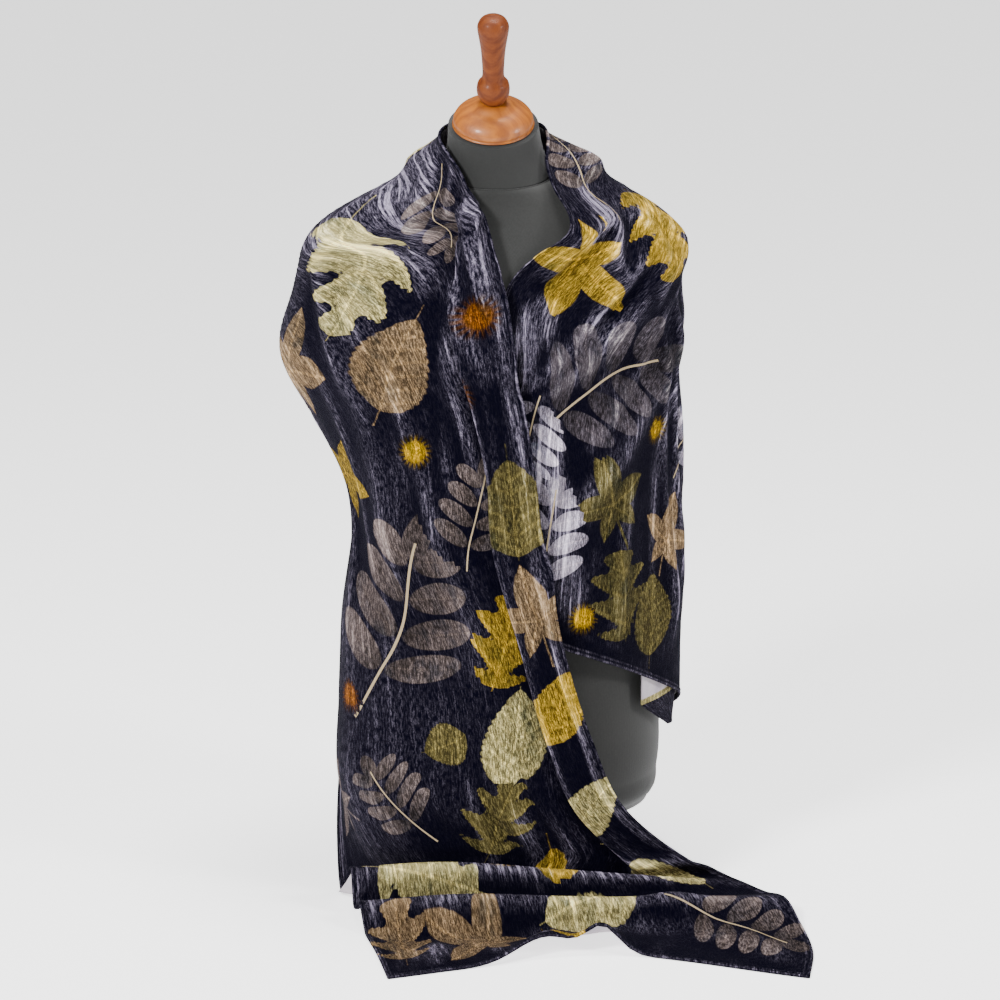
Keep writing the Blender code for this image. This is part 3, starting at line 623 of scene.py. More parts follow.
    def pleat_path(self, leg: np.ndarray,
                   along: np.ndarray) -> tuple[np.ndarray, np.ndarray, np.ndarray]:
        """The way across the scarf with its lengthwise pleat.

        Leg 0-1 is the band, 1-2 its fold, 2-3 the tuck, 3-4 the turn back, 4-5 the rest. Where
        the tuck runs out the two folds open together and keep their length.

        Args:
            leg: Places on the legs.
            along: Places along the scarf.

        Returns:
            The share of the base layer's width, the height over it and the distance from the
            inner selvedge in the flat cloth.
        """
        starts, turn, tuck = self.pleat_starts(along)
        band = starts[1]
        radius = math.pi * self.layer_gap / 2 / turn
        sine, cosine = np.sin(turn), np.cos(turn)
        top = 2 * radius * (1 - cosine) + tuck * sine
        tuck_start = band + radius * sine
        rest_start = tuck_start + tuck * cosine + radius * sine
        rest = self.width - starts[4]
        part = np.clip(leg.astype(int), 0, 4)
        t = leg - part
        here = np.arange(len(leg))
        flat = starts[part, here] * (1 - t) + starts[part + 1, here] * t
        left = turn * (1 - t)
        away = np.choose(part, [band * t, band + radius * np.sin(turn * t),
                                tuck_start + tuck * cosine * t,
                                rest_start - radius * np.sin(left), rest_start + rest * t])
        height = np.choose(part, [top, top - radius * (1 - np.cos(turn * t)),
                                  top - radius * (1 - cosine) - tuck * sine * t,
                                  radius * (1 - np.cos(left)), 0 * top])
        return away / (rest_start + rest), height, flat

    def cloth_point(self, leg: np.ndarray, along: np.ndarray) -> np.ndarray:
        """Points of the middle of the cloth.

        Args:
            leg: Places on the legs of the pleat.
            along: Places along the scarf.

        Returns:
            The points, a row each.
        """
        share, height, _ = self.pleat_path(leg, along)
        step = self.probe
        centre = self.base_point(share, along)
        across = self.base_point(share + step, along) - self.base_point(share - step, along)
        onward = self.base_point(share, along + step) - self.base_point(share, along - step)
        points = centre + unit(np.cross(onward, across)) * height[:, None]
        points[:, 2] = np.maximum(points[:, 2], self.lying_z)
        return points

    def outward(self, leg: np.ndarray, along: np.ndarray) -> np.ndarray:
        """Unit normals of the cloth's right side.

        Args:
            leg: Places on the legs of the pleat.
            along: Places along the scarf.

        Returns:
            The normals, a row each.
        """
        far = self.wide_probe
        before = np.clip(leg - far, 0.0, self.last_probe)
        after = np.clip(leg + far, 0.0, self.last_probe)
        across = self.cloth_point(after, along) - self.cloth_point(before, along)
        onward = self.cloth_point(leg, along + far) - self.cloth_point(leg, along - far)
        return unit(np.cross(onward, across))


class Kind(Enum):
    """The motifs of the print, by how they are drawn."""
    GROUND = 0
    OVAL = 1
    LOBED = 2
    POINTED = 3
    SPRIG = 4
    FLOWER = 5


class Tint(Enum):
    """The print's dyes."""
    CREAM = (0.60, 0.51, 0.215, 1.0)
    GOLD = (0.48, 0.305, 0.030, 1.0)
    OLIVE = (0.160, 0.130, 0.044, 1.0)
    TAUPE = (0.230, 0.175, 0.165, 1.0)
    TAN = (0.33, 0.215, 0.115, 1.0)
    MUSTARD = (0.62, 0.36, 0.008, 1.0)
    RUST = (0.27, 0.085, 0.008, 1.0)
    SLATE = (0.130, 0.108, 0.130, 1.0)
    LAVENDER = (0.55, 0.48, 0.60, 1.0)


class Motif(NamedTuple):
    """One motif of the print, placed on the flat cloth by its middle."""
    kind: Kind
    tint: Tint
    across: float
    along: float
    turn: float
    length: float
    width: float = 1.0


def shown_motifs() -> list[Motif]:
    """The motifs that are placed one by one, where the scarf is seen from the front.

    Returns:
        The motifs, of the long end, of the end that lies and of the short end.
    """
    k, t = Kind, Tint
    return [
        Motif(k.LOBED, t.CREAM, 0.195, 1.000, 258.0, 0.125, 1.15),
        Motif(k.SPRIG, t.TAUPE, 0.075, 1.050, 285.0, 0.100, 1.05),
        Motif(k.FLOWER, t.RUST, 0.036, 0.930, 0.0, 0.052),
        Motif(k.POINTED, t.TAN, 0.320, 0.900, 60.0, 0.135, 0.95),
        Motif(k.OVAL, t.TAN, 0.215, 0.885, 65.0, 0.105, 1.35),
        Motif(k.SPRIG, t.TAUPE, 0.165, 0.720, 76.0, 0.125, 1.00),
        Motif(k.FLOWER, t.MUSTARD, 0.225, 0.790, 0.0, 0.042),
        Motif(k.POINTED, t.GOLD, 0.345, 0.745, 330.0, 0.105, 1.00),
        Motif(k.OVAL, t.OLIVE, 0.030, 0.735, 96.0, 0.105, 1.20),
        Motif(k.SPRIG, t.TAUPE, 0.290, 0.600, 66.0, 0.225, 1.10),
        Motif(k.LOBED, t.GOLD, 0.165, 0.590, 80.0, 0.100, 1.00),
        Motif(k.POINTED, t.TAN, 0.026, 0.620, 110.0, 0.110, 1.00),
        Motif(k.OVAL, t.CREAM, 0.180, 0.485, 84.0, 0.105, 1.05),
        Motif(k.FLOWER, t.RUST, 0.365, 0.505, 0.0, 0.044),
        Motif(k.OVAL, t.OLIVE, 0.262, 0.475, 200.0, 0.050, 1.60),
        Motif(k.SPRIG, t.TAUPE, 0.315, 0.405, 128.0, 0.110, 1.20),
        Motif(k.LOBED, t.OLIVE, 0.215, 0.395, 70.0, 0.085, 1.10),
        Motif(k.OVAL, t.GOLD, 0.030, 0.520, 75.0, 0.085, 1.10),
        Motif(k.OVAL, t.CREAM, 0.040, 0.410, 60.0, 0.090, 0.95),
        Motif(k.POINTED, t.TAUPE, 0.425, 0.390, 150.0, 0.105, 1.00),
        Motif(k.OVAL, t.CREAM, 0.060, 0.285, 330.0, 0.090, 1.20),
        Motif(k.LOBED, t.CREAM, 0.385, 0.235, 350.0, 0.110, 1.00),
        Motif(k.FLOWER, t.MUSTARD, 0.265, 0.265, 0.0, 0.045),
        Motif(k.OVAL, t.CREAM, 0.190, 0.165, 200.0, 0.105, 1.10),
        Motif(k.POINTED, t.TAN, 0.345, 0.105, 160.0, 0.130, 1.00),
        Motif(k.SPRIG, t.TAUPE, 0.060, 0.120, 325.0, 0.150, 1.10),
        Motif(k.OVAL, t.GOLD, 0.235, 0.060, 335.0, 0.085, 1.00),
        Motif(k.LOBED, t.TAN, 0.455, 0.110, 100.0, 0.090, 1.00),
        Motif(k.POINTED, t.GOLD, 0.068, 1.560, 236.0, 0.130, 1.00),
        Motif(k.LOBED, t.GOLD, 0.150, 1.480, 280.0, 0.110, 1.10),
        Motif(k.SPRIG, t.SLATE, 0.165, 1.660, 36.0, 0.190, 1.10),
        Motif(k.FLOWER, t.MUSTARD, 0.285, 1.640, 0.0, 0.038),
        Motif(k.SPRIG, t.LAVENDER, 0.070, 1.745, 258.0, 0.115, 1.10),
        Motif(k.POINTED, t.OLIVE, 0.205, 1.775, 120.0, 0.120, 1.00),
        Motif(k.SPRIG, t.LAVENDER, 0.105, 1.860, 84.0, 0.150, 0.90),
        Motif(k.LOBED, t.OLIVE, 0.235, 1.885, 110.0, 0.100, 1.05),
        Motif(k.FLOWER, t.MUSTARD, 0.170, 1.930, 0.0, 0.040),
        Motif(k.POINTED, t.TAN, 0.330, 1.760, 80.0, 0.110, 1.00),
        Motif(k.OVAL, t.OLIVE, 0.300, 1.890, 100.0, 0.090, 1.10),
        Motif(k.OVAL, t.CREAM, 0.070, 1.165, 60.0, 0.085, 1.10),
        Motif(k.SPRIG, t.TAUPE, 0.045, 1.435, 100.0, 0.110, 1.10),
    ]


def write_maps(mesh: bpy.types.Mesh, maps: dict[str, np.ndarray]) -> None:
    """Adds flat maps to a mesh, from two values for each face corner."""
    for name, values in maps.items():
        layer = mesh.uv_layers.new(name=name)
        layer.data.foreach_set("uv", values.astype(np.float32).ravel())


def corner_points(mesh: bpy.types.Mesh) -> np.ndarray:
    """The number of the point at each face corner of a mesh."""
    corners = np.empty(len(mesh.loops), int)
    mesh.loops.foreach_get("vertex_index", corners)
    return corners


@dataclass
class LeafPrint:
    """The print's layout on the flat cloth."""
    width: float
    length: float
    margin: float = 0.03
    spacing: float = 0.60
    seed: int = 7
    tries: int = 9000
    reach: float = 0.30
    least_reach: float = 0.014
    half_length: float = 0.5
    half_width: float = 0.46
    margin_round: float = 1.35
    small_from: float = 0.6
    small_every: int = 50
    least_faces: int = 12
    stretch_limits: tuple[float, float] = (0.65, 1.7)
    placed: list[Motif] = field(default_factory=list)
    frames: list[np.ndarray] = field(default_factory=list)
    upward: np.ndarray = field(default_factory=lambda: np.array([0.0, 0.35, 0.94]))

    def __post_init__(self) -> None:
        """Adds the scattered motifs to the placed ones."""
        self.motifs = list(self.placed) + self.scattered()

    def scattered(self) -> list[Motif]:
        """Motifs thrown over the rest of the cloth, none over another."""
        deal = random.Random(self.seed)
        choices = [(Kind.OVAL, 0.105, [Tint.CREAM, Tint.OLIVE, Tint.GOLD, Tint.TAN]),
                   (Kind.LOBED, 0.125, [Tint.CREAM, Tint.GOLD, Tint.OLIVE]),
                   (Kind.POINTED, 0.115, [Tint.TAN, Tint.TAUPE, Tint.GOLD]),
                   (Kind.SPRIG, 0.170, [Tint.TAUPE, Tint.SLATE, Tint.TAUPE]),
                   (Kind.SPRIG, 0.110, [Tint.TAUPE, Tint.LAVENDER])]
        small = [(Kind.FLOWER, 0.042, [Tint.MUSTARD, Tint.RUST]), (Kind.OVAL, 0.055, [Tint.OLIVE])]
        found: list[Motif] = []
        for number in range(self.tries):
            late = number > self.tries * self.small_from
            size = small if late and number % self.small_every == 0 else choices
            kind, length, tints = size[deal.randrange(len(size))]
            motif = Motif(kind, deal.choice(tints), deal.uniform(self.margin, self.width - self.margin),
                          deal.uniform(self.margin, self.length - self.margin),
                          deal.uniform(0.0, 360.0), length * deal.uniform(0.85, 1.15),
                          deal.uniform(0.85, 1.15))
            if all(self.clear(motif, other) for other in list(self.placed) + found):
                found.append(motif)
        return found

    def clear(self, one: Motif, other: Motif) -> bool:
        """Whether two motifs stand apart."""
        apart = math.hypot(one.across - other.across, one.along - other.along)
        return apart > self.spacing * (one.length + other.length)

    def paint(self, mesh: bpy.types.Mesh, shown: Optional[np.ndarray] = None) -> None:
        """Writes each face's motif and its place on it into the mesh's motif maps.

        Args:
            mesh: A mesh with the flat cloth's coordinates in its map "cloth".
            shown: On the cloth, which of its faces lie outside the pleat's folds.
        """
        count = len(mesh.loops)
        flat = np.empty(count * 2, np.float32)
        mesh.uv_layers["cloth"].data.foreach_get("uv", flat)
        flat = flat.reshape(-1, 2).astype(float)
        starts = np.empty(len(mesh.polygons), int)
        totals = np.empty(len(mesh.polygons), int)
        mesh.polygons.foreach_get("loop_start", starts)
        mesh.polygons.foreach_get("loop_total", totals)
        middles = np.add.reduceat(flat, starts, axis=0) / totals[:, None]
        owner = np.repeat(np.arange(len(starts)), totals)
        if shown is not None:
            self.frames = self.measure(mesh, middles, shown)
        nearest = np.full(len(starts), self.margin_round)
        chosen = np.full(len(starts), -1)
        for index, (motif, hang) in enumerate(zip(self.motifs, self.frames)):
            place = self.local(motif, hang, middles)
            off = np.hypot((place[:, 0] - 0.5) / self.half_length, place[:, 1] / self.half_width)
            closer = off < nearest
            nearest[closer] = off[closer]
            chosen[closer] = index
        place = np.full((count, 2), BARE_SPOT)
        marks = np.zeros((count, 2))
        chosen = chosen[owner]
        tints = list(Tint)
        for index, (motif, hang) in enumerate(zip(self.motifs, self.frames)):
            mine = chosen == index
            place[mine] = self.local(motif, hang, flat[mine])
            marks[mine] = (motif.kind.value, (tints.index(motif.tint) + 0.5) / len(tints))
        write_maps(mesh, {"motif": place, "motif_mark": marks})

    def measure(self, mesh: bpy.types.Mesh, middles: np.ndarray,
                shown: np.ndarray) -> list[np.ndarray]:
        """How the cloth hangs at each motif, so that a motif keeps its shape where it is worn.

        Args:
            mesh: The hung cloth.
            middles: Its faces' places on the flat cloth.
            shown: Which of its faces lie outside the pleat's folds.

        Returns:
            For each motif, the ways across and along the flat cloth as steps right and up.
        """
        centres = np.empty(len(mesh.polygons) * 3)
        mesh.polygons.foreach_get("center", centres)
        centres = centres.reshape(-1, 3)
        frames = []
        for motif in self.motifs:
            away = middles - np.array([motif.across, motif.along])
            reach = max(self.reach * motif.length, self.least_reach)
            near = np.hypot(away[:, 0], away[:, 1]) < reach
            if (near & shown).sum() > self.least_faces:
                near &= shown
            sums = np.column_stack([away[near], np.ones(near.sum())])
            across, along, _ = np.linalg.lstsq(sums, centres[near], rcond=None)[0]
            outward = unit(np.cross(along, across))
            up = unit(self.upward - outward * (self.upward @ outward))
            right = np.cross(up, outward)
            hang = np.array([[right @ across, right @ along], [up @ across, up @ along]])
            turned, stretch, flat_turned = np.linalg.svd(hang)
            frames.append(turned @ np.diag(np.clip(stretch, *self.stretch_limits)) @ flat_turned)
        return frames

    @staticmethod
    def local(motif: Motif, hang: np.ndarray, flat: np.ndarray) -> np.ndarray:
        """Places on the flat cloth in a motif's own frame.

        Args:
            motif: The motif.
            hang: How the cloth hangs there, as steps right and up.
            flat: Places on the flat cloth.

        Returns:
            Places from 0 at the stalk to 1 at the tip, and beside the midrib.
        """
        turn = math.radians(motif.turn)
        away = (flat - np.array([motif.across, motif.along])) @ hang.T
        forward = (away[:, 0] * math.cos(turn) + away[:, 1] * math.sin(turn)) / motif.length
        beside = (away[:, 1] * math.cos(turn) - away[:, 0] * math.sin(turn)) / motif.length
        return np.stack([forward + 0.5, beside / motif.width], axis=1)


class Graph:
    """A material's or group's nodes, written as sums."""

    def __init__(self, tree: bpy.types.NodeTree) -> None:
        """Works on this tree."""
        self.tree = tree

    def node(self, kind: str, inputs: Optional[dict] = None, **settings: object) -> bpy.types.Node:
        """Adds a node.

        Args:
            kind: Its type's name.
            inputs: Values or sockets for its inputs, by name or number.
            settings: Its own settings.

        Returns:
            The node.
        """
        node = self.tree.nodes.new(kind)
        for name, value in settings.items():
            setattr(node, name, value)
        for name, value in (inputs or {}).items():
            self.put(value, node.inputs[name])
        return node

    def put(self, value: Union[Value, Sequence[float]], socket: Socket) -> None:
        """Links a socket to an input, or sets the input."""
        if isinstance(value, bpy.types.NodeSocket):
            self.tree.links.new(value, socket)
        else:
            socket.default_value = value

    def settle(self, shader: bpy.types.Node, values: dict[str, Value]) -> None:
        """Gives a shader its plain values, by name."""
        for name, value in values.items():
            self.put(value, shader.inputs[name])

    def grey(self, value: Socket) -> Socket:
        """A grey of this brightness."""
        return self.node("ShaderNodeCombineColor", {0: value, 1: value, 2: value}).outputs[0]

    def math(self, operation: str, a: Value, b: Value = 0.0, c: Value = 0.0,
             clamp: bool = False) -> Socket:
        """One sum of up to three values."""
        node = self.node("ShaderNodeMath", {0: a, 1: b, 2: c}, operation=operation, use_clamp=clamp)
        return node.outputs[0]

    def times(self, a: Value, b: Value, clamp: bool = False) -> Socket:
        """a times b."""
        return self.math("MULTIPLY", a, b, clamp=clamp)

    def plus(self, a: Value, b: Value) -> Socket:
        """a and b added."""
        return self.math("ADD", a, b)

    def less(self, a: Value, b: Value) -> Socket:
        """a without b."""
        return self.math("SUBTRACT", a, b)

    def rest(self, a: Value) -> Socket:
        """What a leaves of 1."""
        return self.math("SUBTRACT", 1.0, a)

    def scaled(self, a: Value, b: Value, c: Value) -> Socket:
        """a times b, and c added."""
        return self.math("MULTIPLY_ADD", a, b, c)

    def soft(self, value: Value, low: float, high: float) -> Socket:
        """A soft change from 0 to 1 between two values."""
        return self.node("ShaderNodeMapRange", {0: value, 1: low, 2: high},
                         interpolation_type="SMOOTHSTEP").outputs[0]

    def noise(self, place: Socket, scale: tuple[float, float, float], detail: float = 2.0,
              rough: float = 0.5, twist: float = 0.0) -> Socket:
        """A cloudy pattern.

        Args:
            place: Where it is read.
            scale: Waves a metre, by direction.
            detail: Finer layers.
            rough: Their strength.
            twist: How much it is distorted.

        Returns:
            A value about 0.5.
        """
        stretched = self.node("ShaderNodeVectorMath", {0: place, 1: scale}, operation="MULTIPLY")
        return self.node("ShaderNodeTexNoise", {"Vector": stretched.outputs[0], "Scale": 1.0,
                                                "Detail": detail, "Roughness": rough,
                                                "Distortion": twist}).outputs[0]

    def blend(self, part: Value, a: Union[Colour, Socket], b: Union[Colour, Socket],
              way: str = "MIX") -> Socket:
        """Two colours mixed, the second by its part."""
        node = self.node("ShaderNodeMix", {0: part, 6: a, 7: b}, data_type="RGBA", blend_type=way)
        return node.outputs[2]

    def split(self, place: Socket) -> tuple[Socket, Socket, Socket]:
        """The three coordinates of a place."""
        node = self.node("ShaderNodeSeparateXYZ", {0: place})
        return node.outputs[0], node.outputs[1], node.outputs[2]

    def map(self, name: str) -> Socket:
        """A mesh's own flat map."""
        return self.node("ShaderNodeUVMap", uv_map=name).outputs[0]

    def bump(self, height: Value, depth: float, strength: float = 1.0) -> Socket:
        """A normal for fine relief of this depth in metres."""
        return self.node("ShaderNodeBump", {"Height": height, "Distance": depth,
                                            "Strength": strength}).outputs[0]


class MotifShapes:
    """Draws the motifs from a place in their own frame: how much is leaf, and how much is vein."""

    def __init__(self) -> None:
        """Makes the group with its sockets."""
        self.tree = bpy.data.node_groups.new("leaf motifs", "ShaderNodeTree")
        for name, kind in (("Place", "NodeSocketVector"), ("Kind", "NodeSocketFloat")):
            self.tree.interface.new_socket(name, in_out="INPUT", socket_type=kind)
        for name in ("Leaf", "Vein", "Shade"):
            self.tree.interface.new_socket(name, in_out="OUTPUT", socket_type="NodeSocketFloat")
        g = self.g = Graph(self.tree)
        entry = g.node("NodeGroupInput")
        self.place = entry.outputs["Place"]
        self.x, self.y, _ = g.split(self.place)
        self.side = g.math("ABSOLUTE", self.y)
        wobble = g.noise(self.place, (14.0, 14.0, 1.0), 1.0)
        self.wobble = g.scaled(wobble, 0.03, -0.015)
        drawn = {Kind.OVAL: self.oval(), Kind.LOBED: self.lobed(), Kind.POINTED: self.pointed(),
                 Kind.SPRIG: self.sprig(), Kind.FLOWER: self.flower()}
        is_kind = {kind: g.math("COMPARE", entry.outputs["Kind"], float(kind.value), 0.4) for kind in drawn}
        leaf: Value = 0.0
        vein: Value = 0.0
        for kind, (body, rib) in drawn.items():
            leaf = g.scaled(is_kind[kind], body, leaf)
            vein = g.scaled(is_kind[kind], rib, vein)
        stalk_shade = g.times(is_kind[Kind.SPRIG], g.rest(g.soft(self.side, 0.02, 0.24)))
        fringe_shade = g.times(is_kind[Kind.FLOWER], g.soft(self.polar(0.5)[0], 0.16, 0.42))
        dark = g.scaled(stalk_shade, 0.55, g.times(fringe_shade, 0.80))
        g.node("NodeGroupOutput", {"Leaf": leaf, "Vein": vein, "Shade": g.rest(dark)})

    def arch(self, power: float) -> Socket:
        """A low arch over the leaf's length, 0 at both ends and 1 in the middle."""
        g = self.g
        span = g.times(g.rest(self.x), self.x)
        return g.math("POWER", g.math("MAXIMUM", g.times(span, 4.0), 0.0), power)

    def inside(self, reach: Value, edge: float = 0.012) -> Socket:
        """1 where the place is nearer to the midrib than the leaf's reach, with a soft edge."""
        g = self.g
        left = g.less(g.plus(reach, self.wobble), self.side)
        return g.soft(left, -edge, edge)

    def ribs(self, slant: float, count: float, wide: float) -> Socket:
        """The midrib and side veins that leave it on a slant."""
        g = self.g
        row = g.times(g.less(self.x, g.times(self.side, slant)), count)
        near = g.math("ABSOLUTE", g.less(g.math("FRACT", row), 0.5))
        side_veins = g.rest(g.soft(near, wide, wide * 2.2))
        midrib = g.rest(g.soft(self.side, 0.006, 0.016))
        return g.math("MAXIMUM", g.times(side_veins, 0.45), g.times(midrib, 0.75))

    def oval(self) -> tuple[Socket, Socket]:
        """A toothed oval leaf, pointed at its tip."""
        g = self.g
        teeth = g.math("ABSOLUTE", g.math("SINE", g.times(self.x, 44.0)))
        taper = g.scaled(self.x, -0.16, 0.36)
        reach = g.times(self.arch(0.72), g.scaled(teeth, 0.022, taper))
        return self.inside(reach), self.ribs(0.75, 7.0, 0.07)

    def lobed(self) -> tuple[Socket, Socket]:
        """A leaf with rounded lobes and scalloped edges."""
        g = self.g
        row = g.scaled(self.side, -0.55, self.x)
        lobes = g.math("COSINE", g.scaled(row, 21.0, 0.6))
        scallops = g.math("COSINE", g.times(g.plus(self.x, self.side), 74.0))
        deep = g.scaled(lobes, 0.135, 0.29)
        deep = g.scaled(scallops, 0.018, deep)
        return self.inside(g.times(self.arch(0.45), deep)), self.ribs(0.85, 3.4, 0.04)

    def polar(self, centre: float) -> tuple[Socket, Socket]:
        """Distance and direction from a point on the midrib, the tip's direction being 0."""
        g = self.g
        forward = g.less(self.x, centre)
        squares = g.scaled(forward, forward, g.times(self.y, self.y))
        return g.math("SQRT", squares), g.math("ARCTAN2", self.y, forward)

    def pointed(self) -> tuple[Socket, Socket]:
        """A leaf with five pointed lobes, its stalk between the lowest two."""
        g = self.g
        far, angle = self.polar(0.42)
        turn = g.scaled(angle, 5.0 / (2.0 * math.pi), 0.5)
        off = g.math("ABSOLUTE", g.less(g.math("FRACT", turn), 0.5))
        dent = g.math("POWER", g.times(off, 2.0), 0.85)
        ahead = g.scaled(g.math("COSINE", angle), 0.13, 0.45)
        reach = g.times(ahead, g.scaled(dent, -0.60, 1.0))
        left = g.less(g.plus(reach, self.wobble), far)
        below = g.math("LESS_THAN", self.x, 0.42)
        stalk = g.times(below, g.math("LESS_THAN", self.side, 0.011))
        stalk = g.times(stalk, g.math("GREATER_THAN", self.x, -0.12))
        between = g.soft(g.times(off, far), 0.005, 0.012)
        rib = g.less(0.75, g.times(between, 0.75))
        return g.math("MAXIMUM", g.soft(left, -0.012, 0.012), stalk), rib

    def sprig(self) -> tuple[Socket, Socket]:
        """A stalk with pairs of oval leaflets."""
        g = self.g
        row = g.times(g.scaled(self.side, -0.42, self.x), 5.6)
        cell = g.math("DIVIDE", g.less(g.math("FRACT", row), 0.5), 0.44)
        half = g.scaled(g.math("ABSOLUTE", g.less(self.x, 0.52)), -0.12, 0.165)
        away = g.math("DIVIDE", g.less(g.less(self.side, half), 0.012), half)
        oval = g.scaled(cell, cell, g.times(away, away))
        leaflet = g.rest(g.soft(g.plus(oval, self.wobble), 0.88, 1.06))
        ends = g.times(g.soft(row, 0.96, 1.0), g.math("LESS_THAN", row, 5.0))
        tip_x = g.math("DIVIDE", g.less(self.x, 0.95), 0.13)
        tip_y = g.math("DIVIDE", self.side, 0.072)
        tip = g.scaled(tip_x, tip_x, g.times(tip_y, tip_y))
        tip = g.rest(g.soft(tip, 0.9, 1.08))
        on_stalk = g.times(g.math("GREATER_THAN", self.x, -0.03), g.math("LESS_THAN", self.x, 0.9))
        stalk = g.times(g.math("LESS_THAN", self.side, 0.0062), on_stalk)
        body = g.math("MAXIMUM", g.math("MAXIMUM", g.times(leaflet, ends), tip), stalk)
        middle = g.rest(g.soft(g.math("ABSOLUTE", cell), 0.03, 0.10))
        return body, g.math("MAXIMUM", g.times(middle, 0.25), stalk)

    def flower(self) -> tuple[Socket, Socket]:
        """A round flower head with a fringe of narrow petals."""
        g = self.g
        far, angle = self.polar(0.5)
        ruffle = g.times(self.wobble, 9.0)
        twist = g.scaled(angle, 9.5, g.times(far, 3.0))
        ray = g.math("ABSOLUTE", g.math("SINE", twist))
        petals = g.soft(g.plus(ray, ruffle), 0.20, 0.85)
        rim = g.rest(g.soft(g.plus(far, self.wobble), 0.36, 0.50))
        heart = g.rest(g.soft(g.plus(far, self.wobble), 0.25, 0.33))
        body = g.math("MAXIMUM", g.times(g.times(petals, rim), 0.75), heart)
        spots = g.soft(g.noise(self.place, (19.0, 19.0, 1.0), 2.0, 0.6), 0.46, 0.60)
        heart = g.rest(g.soft(far, 0.10, 0.34))
        return body, g.times(g.times(spots, heart), 0.75)


def new_material(name: str) -> tuple[bpy.types.Material, Graph, bpy.types.Node]:
    """An empty material with its shader.

    Args:
        name: The material's name.

    Returns:
        The material, its graph and its shader node.
    """
    material = bpy.data.materials.new(name)
    material.use_nodes = True
    return material, Graph(material.node_tree), material.node_tree.nodes["Principled BSDF"]


